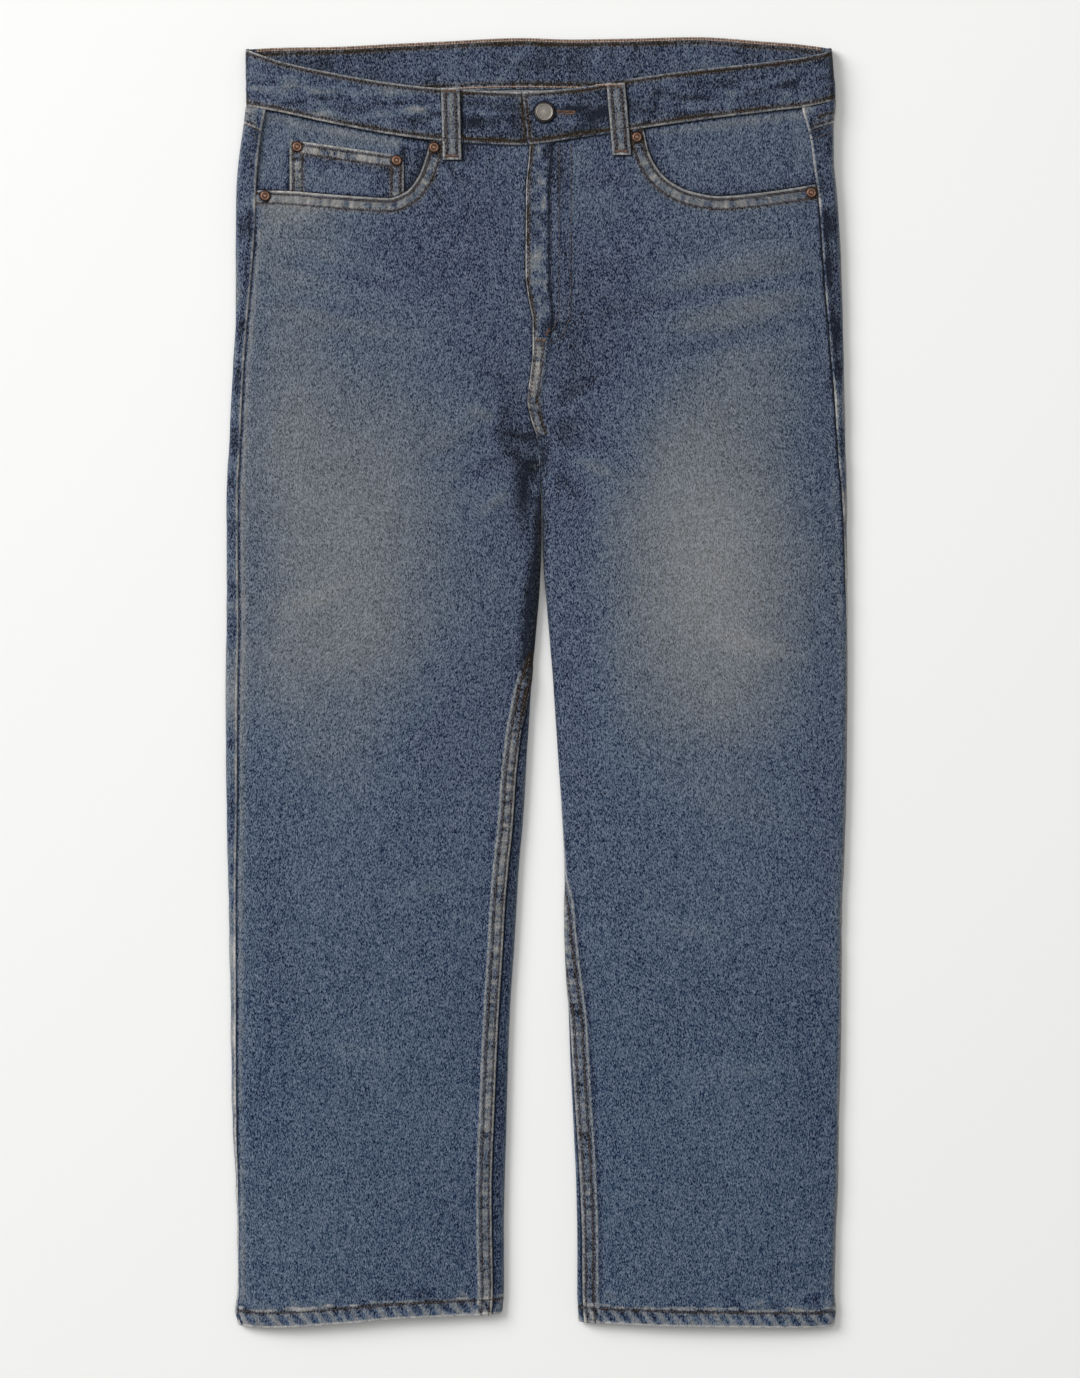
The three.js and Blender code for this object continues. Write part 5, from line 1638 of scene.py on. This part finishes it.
# Metal
def turned_mesh(name, profile, centre, dull, sides=48):
    """A closed turned piece from radii and heights, both ends on the axis. Its attribute "high"
    goes from 0, at or under the dull height, to 1 at the top."""
    rings = [(r, z) for r, z in profile if r > 0]
    angle = np.linspace(0, 2 * math.pi, sides, endpoint=False)
    points = [[0, 0, profile[0][1]]]
    for r, z in rings:
        points.extend([r * math.cos(a), r * math.sin(a), z] for a in angle)
    points.append([0, 0, profile[-1][1]])
    faces = []
    for k in range(sides):
        n = (k + 1) % sides
        faces.append([0, 1 + n, 1 + k])
        for ring in range(len(rings) - 1):
            a, b = 1 + ring * sides, 1 + (ring + 1) * sides
            faces.append([a + k, a + n, b + n, b + k])
        last = 1 + (len(rings) - 1) * sides
        faces.append([last + k, last + n, len(points) - 1])
    points = np.array(points)
    high = smooth((points[:, 2] - dull) / (points[:, 2].max() - dull))
    mesh = bpy.data.meshes.new(name)
    mesh.from_pydata(((points + centre) * MM).tolist(), [], faces)
    mesh.attributes.new("high", "FLOAT", "POINT").data.foreach_set("value", high)
    mesh.shade_smooth()
    return mesh


def make_metal(name, node, profile, dull, material):
    low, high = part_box(node)
    centre = np.array([(low.x + high.x) / 2, (low.y + high.y) / 2, low.z]) / MM
    mesh = turned_mesh(name, profile, centre, dull)
    mesh.materials.append(material)
    piece = new_object(name, mesh)
    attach(piece, "root")
    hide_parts(node)
    return piece


def arc(r0, z0, r1, z1, bulge, steps=6):
    """Points from one radius and height to another, bowed out by a share of their distance."""
    t = np.linspace(0, 1, steps)
    nr, nz = z1 - z0, r0 - r1
    bow = bulge * 4 * t * (1 - t)
    return list(zip(mix(r0, r1, t) + nr * bow, mix(z0, z1, t) + nz * bow))


# Materials
def new_material(name):
    material = bpy.data.materials.new(name)
    material.use_nodes = True
    tree = material.node_tree
    shader = tree.nodes["Principled BSDF"]
    return material, tree, shader


def read(tree, name, output="Fac"):
    """What a mesh's attribute holds."""
    return add_node(tree, "ShaderNodeAttribute", attribute_name=name).outputs[output]


def work_out(tree, operation, *values):
    """The result of a sum on some values or sockets."""
    return add_node(tree, "ShaderNodeMath", dict(enumerate(values)), operation=operation).outputs[0]


def two_tone(tree, value, *ends):
    """A colour between two, each given as the value where it is reached and its hex."""
    ramp = add_node(tree, "ShaderNodeValToRGB", {"Fac": value})
    for stop, (position, colour) in zip(ramp.color_ramp.elements, ends):
        stop.position = position
        stop.color = linear(colour)
    return ramp.outputs["Color"]


def sum_up(tree, start, parts):
    """A value plus each of some values times an amount."""
    for value, amount in parts:
        step = {0: value, 1: amount, 2: start}
        start = add_node(tree, "ShaderNodeMath", step, operation="MULTIPLY_ADD").outputs[0]
    return start


def fall(tree, distance, near, far):
    """1 up to one distance, falling softly to 0 at another."""
    ends = {"Value": distance, "From Min": near, "From Max": far, "To Min": 1.0, "To Max": 0.0}
    made = add_node(tree, "ShaderNodeMapRange", ends, interpolation_type="SMOOTHSTEP")
    return made.outputs["Result"]


def noise(tree, place, scale, detail=2.0, roughness=0.6):
    """Noise with features this many to a unit of each axis."""
    inputs = {"Vector": place, "Scale": scale, "Location": (0.5, 0.5, 0.5)}
    moved = add_node(tree, "ShaderNodeMapping", inputs)
    settings = {"Vector": moved.outputs[0], "Scale": 1.0, "Detail": detail, "Roughness": roughness}
    return add_node(tree, "ShaderNodeTexNoise", settings).outputs["Fac"]


def sewing_wear_and_shade(tree, place):
    """What sewing does to the tone: rubbed folds, dark needle rows with painted shade in their grooves, and
    gathers between them. Also where the thread's dye has warmed the cloth, and painted shade beside what
    covers it."""
    rows = read(tree, "rows", "Vector")
    first, second, along = add_node(tree, "ShaderNodeSeparateXYZ", {0: rows}).outputs
    dash = work_out(tree, "SINE", work_out(tree, "MULTIPLY", along, 2 * math.pi / 3.1))
    to_rows = [work_out(tree, "ABSOLUTE", row) for row in (first, second)]
    # Dark needle rows: painted shade in their grooves
    groove = work_out(tree, "MAXIMUM", *[fall(tree, away, 0.5, 1.6) for away in to_rows])
    groove = work_out(tree, "MULTIPLY", groove, sum_up(tree, 0.8, [(dash, 0.2)]))
    mottle = sum_up(tree, -0.3, [(noise(tree, place, (300, 300, 300)), 2.3)])
    rubbed = work_out(tree, "MULTIPLY", fall(tree, read(tree, "edge"), 0.9, 2.4), mottle)
    under = read(tree, "under")
    gathers_at = add_node(tree, "ShaderNodeCombineXYZ", {"X": along, "Y": first})
    gathers = noise(tree, gathers_at.outputs[0], (0.26, 0.05, 1), 1.0)
    # The strip between two rows is 7 mm wide, and its middle is this far inside the second
    middle = work_out(tree, "ABSOLUTE", work_out(tree, "ADD", second, 3.6))
    between = fall(tree, middle, 2.6, 4.6)
    gathers = work_out(tree, "MULTIPLY", sum_up(tree, -0.38, [(gathers, 1.0)]), between)
    wear_and_shade = [
        (rubbed, 0.36),
        (groove, -0.25),
        (gathers, 0.95),
        # Painted shade beside the edge of what lies over the cloth
        (fall(tree, under, 0.4, 2.4), -0.3),
        (fall(tree, under, 1.0, 7.0), -0.05),
    ]
    return wear_and_shade, fall(tree, work_out(tree, "MINIMUM", *to_rows), 0.8, 4.5)


def denim_material(name, warp_across=False, lightness=0.0):
    """Ring-spun indigo twill, washed: dyed warp over white weft, rubbed pale on every fold, with the light
    and shade that its attributes paint.
    """
    material, tree, shader = new_material(name)
    place = add_node(tree, "ShaderNodeTexCoord").outputs["Object"]
    tone = read(tree, "tone")
    # Slubs are long and thin along the warp, which runs round the body in the waistband
    warp_scale = (60, 700, 700) if warp_across else (700, 60, 700)
    weft_scale = (500, 90, 500) if warp_across else (90, 500, 500)
    warp = noise(tree, place, warp_scale)
    parts = [
        (warp, 0.08),
        (noise(tree, place, weft_scale), 0.04),
        (noise(tree, place, (120, 120, 120)), 0.02),
    ]
    offset = sum(amount for _, amount in parts) / 2 - lightness
    wear_and_shade, warm = sewing_wear_and_shade(tree, place)
    parts += wear_and_shade
    total = work_out(tree, "SUBTRACT", sum_up(tree, tone, parts), offset)
    ramp = add_node(tree, "ShaderNodeValToRGB", {"Fac": total})
    stops = ramp.color_ramp.elements
    while len(stops) < len(DENIM_TONES):
        stops.new(0.5)
    for stop, (position, _) in zip(stops, DENIM_TONES):
        stop.position = position
    for stop, (_, colour) in zip(stops, DENIM_TONES):
        stop.color = linear(colour)
    # The salt and pepper of the twill: threads 0.5 mm apart beat into specks of 2 to 3 mm
    cloth = add_node(tree, "ShaderNodeTexCoord").outputs["UV"]
    grain = noise(tree, cloth, (1400, 620, 1), 0.0)
    in_the_dark = sum_up(tree, 0.2, [(total, 5.2)])
    in_the_light = sum_up(tree, 1.4, [(total, -0.5)])
    strength = work_out(tree, "MINIMUM", in_the_dark, in_the_light)
    speck = work_out(tree, "MULTIPLY", sum_up(tree, -0.5, [(grain, 1.0)]), strength)
    up_the_legs = add_node(tree, "ShaderNodeSeparateXYZ", {0: place}).outputs["Y"]
    low = fall(tree, up_the_legs, -0.4, 0.15)
    shades = ((speck, GRAIN_COLOUR), (warm, WARM_COLOUR), (low, LOW_COLOUR))
    colour = ramp.outputs["Color"]
    for value, tint in shades:
        amount = add_node(tree, "ShaderNodeCombineXYZ", {"X": value, "Y": value, "Z": value})
        coloured = add_node(
            tree, "ShaderNodeVectorMath", {0: amount.outputs[0], 1: tint, 2: colour},
            operation="MULTIPLY_ADD",
        )
        colour = coloured.outputs[0]
    tree.links.new(colour, shader.inputs["Base Color"])
    height = sum_up(tree, grain, [(warp, 0.6)])
    bump = add_node(
        tree, "ShaderNodeBump", {"Height": height, "Strength": 0.5, "Distance": 0.0004}
    )
    tree.links.new(bump.outputs[0], shader.inputs["Normal"])
    shader.inputs["Roughness"].default_value = 0.92
    shader.inputs["Specular IOR Level"].default_value = 0.25
    shader.inputs["Sheen Weight"].default_value = 0.1
    shader.inputs["Sheen Roughness"].default_value = 0.5
    return material


def thread_material(name, dark, light):
    """Spun polyester thread, dyed tobacco: matt, with its ply showing as light and dark."""
    material, tree, shader = new_material(name)
    place = add_node(tree, "ShaderNodeTexCoord").outputs["Object"]
    ply = add_node(
        tree, "ShaderNodeTexNoise", {"Vector": place, "Scale": 420.0, "Detail": 2.0}
    )
    colour = two_tone(tree, ply.outputs["Fac"], (0.36, dark), (0.66, light))
    tree.links.new(colour, shader.inputs["Base Color"])
    shader.inputs["Roughness"].default_value = 0.75
    return material


def metal_material(name, dark, light, roughness, scale):
    """Plated or bare metal, tumbled in the wash: dull hollows and rubbed high places."""
    material, tree, shader = new_material(name)
    place = add_node(tree, "ShaderNodeTexCoord").outputs["Object"]
    stain = add_node(
        tree, "ShaderNodeTexNoise",
        {"Vector": place, "Scale": scale, "Detail": 4.0, "Roughness": 0.7},
    )
    high = read(tree, "high")
    worn = sum_up(tree, -0.2, [(stain.outputs["Fac"], 0.8), (high, 0.6)])
    colour = two_tone(tree, worn, (0.1, dark), (0.9, light))
    tree.links.new(colour, shader.inputs["Base Color"])
    bump = add_node(
        tree, "ShaderNodeBump",
        {"Height": stain.outputs["Fac"], "Strength": 0.3, "Distance": 0.0002},
    )
    tree.links.new(bump.outputs[0], shader.inputs["Normal"])
    shader.inputs["Metallic"].default_value = 1.0
    shader.inputs["Roughness"].default_value = roughness
    return material


def floor_material(colour):
    """Matt white paper."""
    material, _, shader = new_material("studio_paper")
    shader.inputs["Base Color"].default_value = colour
    shader.inputs["Roughness"].default_value = 0.9
    shader.inputs["Specular IOR Level"].default_value = 0.2
    return material


def denim(kind):
    """The denim materials, made once: the panels' outside, the band's and the panels' inside."""
    names = {
        "panel": ("washed_indigo_twill", False, 0.0),
        "band": ("washed_indigo_twill_band", True, 0.0),
        "inside": ("washed_indigo_twill_inside", False, 0.12),
    }
    name, across, lightness = names[kind]
    return bpy.data.materials.get(name) or denim_material(name, across, lightness)


# Settings
class JeansSizes(bpy.types.PropertyGroup):
    stitch_pitch: bpy.props.FloatProperty(
        name="Stitch pitch", description="From one stitch to the next", default=0.0031,
        min=0.001, subtype="DISTANCE", unit="LENGTH",
    )
    stitch_length: bpy.props.FloatProperty(
        name="Stitch length", description="Length of one stitch", default=0.0025,
        min=0.0005, subtype="DISTANCE", unit="LENGTH",
    )
    thread_width: bpy.props.FloatProperty(
        name="Thread width", description="Thickness of the topstitching thread", default=0.001,
        min=0.0002, subtype="DISTANCE", unit="LENGTH",
    )
    floor_size: bpy.props.FloatProperty(
        name="Floor size", description="Width of the studio floor", default=12.0,
        min=1, subtype="DISTANCE", unit="LENGTH",
    )
    camera_distance: bpy.props.FloatProperty(
        name="Camera distance", description="Height of the camera over the jeans", default=3.4,
        min=0.5, subtype="DISTANCE", unit="LENGTH",
    )


class JeansColours(bpy.types.PropertyGroup):
    floor: bpy.props.FloatVectorProperty(
        name="Floor", description="Colour of the studio floor", subtype="COLOR", size=4,
        default=linear("#f0f0ee"), min=0, max=1,
    )
    daylight: bpy.props.FloatVectorProperty(
        name="Daylight", description="Colour of the soft lights", subtype="COLOR", size=4,
        default=linear("#ffffff"), min=0, max=1,
    )


CLOTH_PIECES = []


class JEANS_OT_fronts(bpy.types.Operator):
    """Make the two front panels, with the fly's lap and the pocket mouths"""

    bl_idname = "jeans.fronts"
    bl_label = "Fronts"

    def execute(self, context):
        for side in SIGN:
            CLOTH_PIECES.append(make_front(side, [denim("panel"), denim("inside")]))
        return {"FINISHED"}


class JEANS_OT_backs(bpy.types.Operator):
    """Make the two back panels and their yokes"""

    bl_idname = "jeans.backs"
    bl_label = "Backs and yokes"

    def execute(self, context):
        for side in SIGN:
            CLOTH_PIECES.append(make_back(side, [denim("panel"), denim("inside")]))
            CLOTH_PIECES.append(make_yoke(side, [denim("panel"), denim("inside")]))
        return {"FINISHED"}


class JEANS_OT_waistband(bpy.types.Operator):
    """Make the folded waistband"""

    bl_idname = "jeans.waistband"
    bl_label = "Waistband"

    def execute(self, context):
        CLOTH_PIECES.append(make_waistband([denim("band")]))
        return {"FINISHED"}


class JEANS_OT_pockets(bpy.types.Operator):
    """Make the pocket facings, the coin pocket and the back pockets"""

    bl_idname = "jeans.pockets"
    bl_label = "Pockets"

    def execute(self, context):
        for side in SIGN:
            CLOTH_PIECES.append(make_facing(side, [denim("panel")]))
            CLOTH_PIECES.append(make_back_pocket(side, [denim("panel")]))
        CLOTH_PIECES.append(make_coin_pocket([denim("panel")]))
        return {"FINISHED"}


class JEANS_OT_loops(bpy.types.Operator):
    """Make the belt loops"""

    bl_idname = "jeans.loops"
    bl_label = "Belt loops"

    def execute(self, context):
        for side in FRONT_LOOPS:
            CLOTH_PIECES.append(make_front_loop(side, [denim("panel")]))
        for name, centre in BACK_LOOPS.items():
            CLOTH_PIECES.append(make_back_loop(name, centre, [denim("panel")]))
        return {"FINISHED"}


class JEANS_OT_sewing(bpy.types.Operator):
    """Sew the topstitching, the bar tacks and the buttonhole"""

    bl_idname = "jeans.sewing"
    bl_label = "Sewing"

    def execute(self, context):
        sizes = context.scene.jeans_sizes
        tree = cloth_tree(CLOTH_PIECES)
        tobacco = thread_material("tobacco_polyester_thread", "#261f22", "#5c4a42")
        tan = thread_material("tan_polyester_thread", "#7a6354", "#b09a8a")
        rust = thread_material("rust_polyester_thread", "#3c2a23", "#80604d")
        slit = ((15, 1.2), (29.5, 0.9), (30.5, 0), (29.5, -0.9), (15, -1.2))
        hole = np.array([(x, BUTTON["y"] + y) for x, y in slit])
        chain = {"Pitch": 0.0024, "Length": 0.0028, "Thickness": 0.0016, "Thread": tan}
        seams = {
            "Pitch": sizes.stitch_pitch, "Length": sizes.stitch_length,
            "Thickness": sizes.thread_width, "Thread": tobacco,
        }
        tacks = {
            "Pitch": 0.0005, "Length": 0.0022, "Thickness": 0.0006,
            "Across": math.pi / 2, "Thread": rust,
        }
        round_hole = {**tacks, "Pitch": 0.0006, "Length": 0.0019}
        for name, lines, step, values in (
            ("waist_chain_stitches", inside_lines(), SEW_STEP, chain),
            ("topstitching", seam_lines(), SEW_STEP, seams),
            ("bar_tacks", tack_lines(), 1.0, tacks),
            ("buttonhole_thread", [(hole, True)], 0.8, round_hole),
        ):
            runs = [run for line, above in lines for run in sew(tree, line, above, step)]
            make_stitches(name, runs, values)
        return {"FINISHED"}


class JEANS_OT_metal(bpy.types.Operator):
    """Make the shank button and the rivets"""

    bl_idname = "jeans.metal"
    bl_label = "Button and rivets"

    def execute(self, context):
        nickel = metal_material("antique_nickel", "#403c39", "#9a958d", 0.55, 900)
        copper = metal_material("aged_copper", "#211816", "#8d6d5c", 0.5, 700)
        low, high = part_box("button")
        top = (high.z - low.z) / MM
        radius = BUTTON["radius"]
        face = top - BUTTON["height"]
        profile = [(0, 0), (1.4, 0), (1.4, face)]
        profile += arc(radius - 1.2, face, radius, face + 1.2, -0.2)
        profile += arc(radius, face + 1.3, radius - 1.4, top, -0.2)
        profile += [(radius - 2.0, top), (radius - 2.3, top - 0.25), (radius - 3, top - 0.3)]
        profile += arc(radius - 3.4, top - 0.3, 0.4, top - 0.05, -0.02) + [(0, top - 0.05)]
        make_metal("nickel_button", "button", profile, top - 0.7, nickel)
        for node in [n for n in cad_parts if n.startswith("rivet_")]:
            cap = [(0, 0), (4.4, 0), (4.6, 0.2)]
            cap += arc(4.6, 0.3, 3.6, 0.95, -0.2)
            cap += [(2.6, 0.85), (2.1, 0.55), (1.5, 0.6), (1.3, 1.0)]
            cap += arc(1.2, 1.05, 0.2, 1.1, -0.1) + [(0, 1.1)]
            make_metal("copper_" + node, node, cap, 0.4, copper)
        return {"FINISHED"}


class JEANS_OT_stage(bpy.types.Operator):
    """Set up the floor, the soft lights and the camera over the jeans"""

    bl_idname = "jeans.stage"
    bl_label = "Studio"

    def execute(self, context):
        sizes, colours = context.scene.jeans_sizes, context.scene.jeans_colours
        scene = context.scene
        scene.view_settings.view_transform = "Standard"
        half = sizes.floor_size / 2
        mesh = bpy.data.meshes.new("studio_floor")
        corners = [(x * half, y * half, -0.0003) for x, y in ((-1, -1), (1, -1), (1, 1), (-1, 1))]
        mesh.from_pydata(corners, [], [(0, 1, 2, 3)])
        mesh.materials.append(floor_material(colours.floor))
        floor = new_object("studio_floor", mesh)
        world = bpy.data.worlds.new("studio_light")
        world.use_nodes = True
        background = world.node_tree.nodes["Background"]
        background.inputs["Color"].default_value = colours.daylight
        background.inputs["Strength"].default_value = 0.3
        scene.world = world
        soft_box = (("upper_left", (-5.8, 3.6, 4.9), 4.8, 700), ("overhead", (0.6, 0.8, 5.0), 4.5, 66))
        for name, place, size, power in soft_box:
            light = bpy.data.lights.new(f"soft_box_{name}", "AREA")
            light.shape = "SQUARE"
            light.size = size
            light.energy = power
            light.color = colours.daylight[:3]
            lamp = new_object(f"soft_box_{name}", light)
            lamp.location = place
            lamp.rotation_euler = (-Vector(place)).to_track_quat("-Z", "Y").to_euler()
        add_camera(scene, sizes.camera_distance)
        return {"FINISHED"}


IMAGE_HEIGHT = 1378
MM_PER_PIXEL = 0.84
IMAGE_CENTRE = (1.1, -5.0)  # millimetres, what the middle of the picture shows


def add_camera(scene, distance):
    data = bpy.data.cameras.new("camera")
    plane = 0.01  # the height where the scale holds: the top's
    data.lens = data.sensor_width * (distance - plane) / (IMAGE_HEIGHT * MM_PER_PIXEL * MM)
    data.clip_end = 100
    camera = bpy.data.objects.new("camera", data)
    camera.location = (IMAGE_CENTRE[0] * MM, IMAGE_CENTRE[1] * MM, distance)
    scene.collection.objects.link(camera)
    scene.camera = camera


class JEANS_PT_panel(bpy.types.Panel):
    """Lists the steps that make the jeans"""

    bl_label = "Jeans"
    bl_idname = "JEANS_PT_panel"
    bl_space_type = "VIEW_3D"
    bl_region_type = "UI"
    bl_category = "Jeans"

    def draw(self, context):
        for group in (context.scene.jeans_sizes, context.scene.jeans_colours):
            for name in group.bl_rna.properties.keys():
                if name not in ("rna_type", "name"):
                    self.layout.prop(group, name)
        for step in STEPS:
            self.layout.operator(step.bl_idname)


STEPS = (
    JEANS_OT_fronts,
    JEANS_OT_backs,
    JEANS_OT_waistband,
    JEANS_OT_pockets,
    JEANS_OT_loops,
    JEANS_OT_sewing,
    JEANS_OT_metal,
    JEANS_OT_stage,
)
CLASSES = (JeansSizes, JeansColours, *STEPS, JEANS_PT_panel)


def register():
    for item in CLASSES:
        bpy.utils.register_class(item)
    bpy.types.Scene.jeans_sizes = bpy.props.PointerProperty(type=JeansSizes)
    bpy.types.Scene.jeans_colours = bpy.props.PointerProperty(type=JeansColours)


def unregister():
    del bpy.types.Scene.jeans_colours
    del bpy.types.Scene.jeans_sizes
    for item in reversed(CLASSES):
        bpy.utils.unregister_class(item)


def main():
    register()
    bpy.ops.jeans.stage()
    bpy.ops.jeans.fronts()
    bpy.ops.jeans.backs()
    bpy.ops.jeans.waistband()
    bpy.ops.jeans.pockets()
    bpy.ops.jeans.loops()
    bpy.ops.jeans.sewing()
    bpy.ops.jeans.metal()


if __name__ == "__main__":
    main()
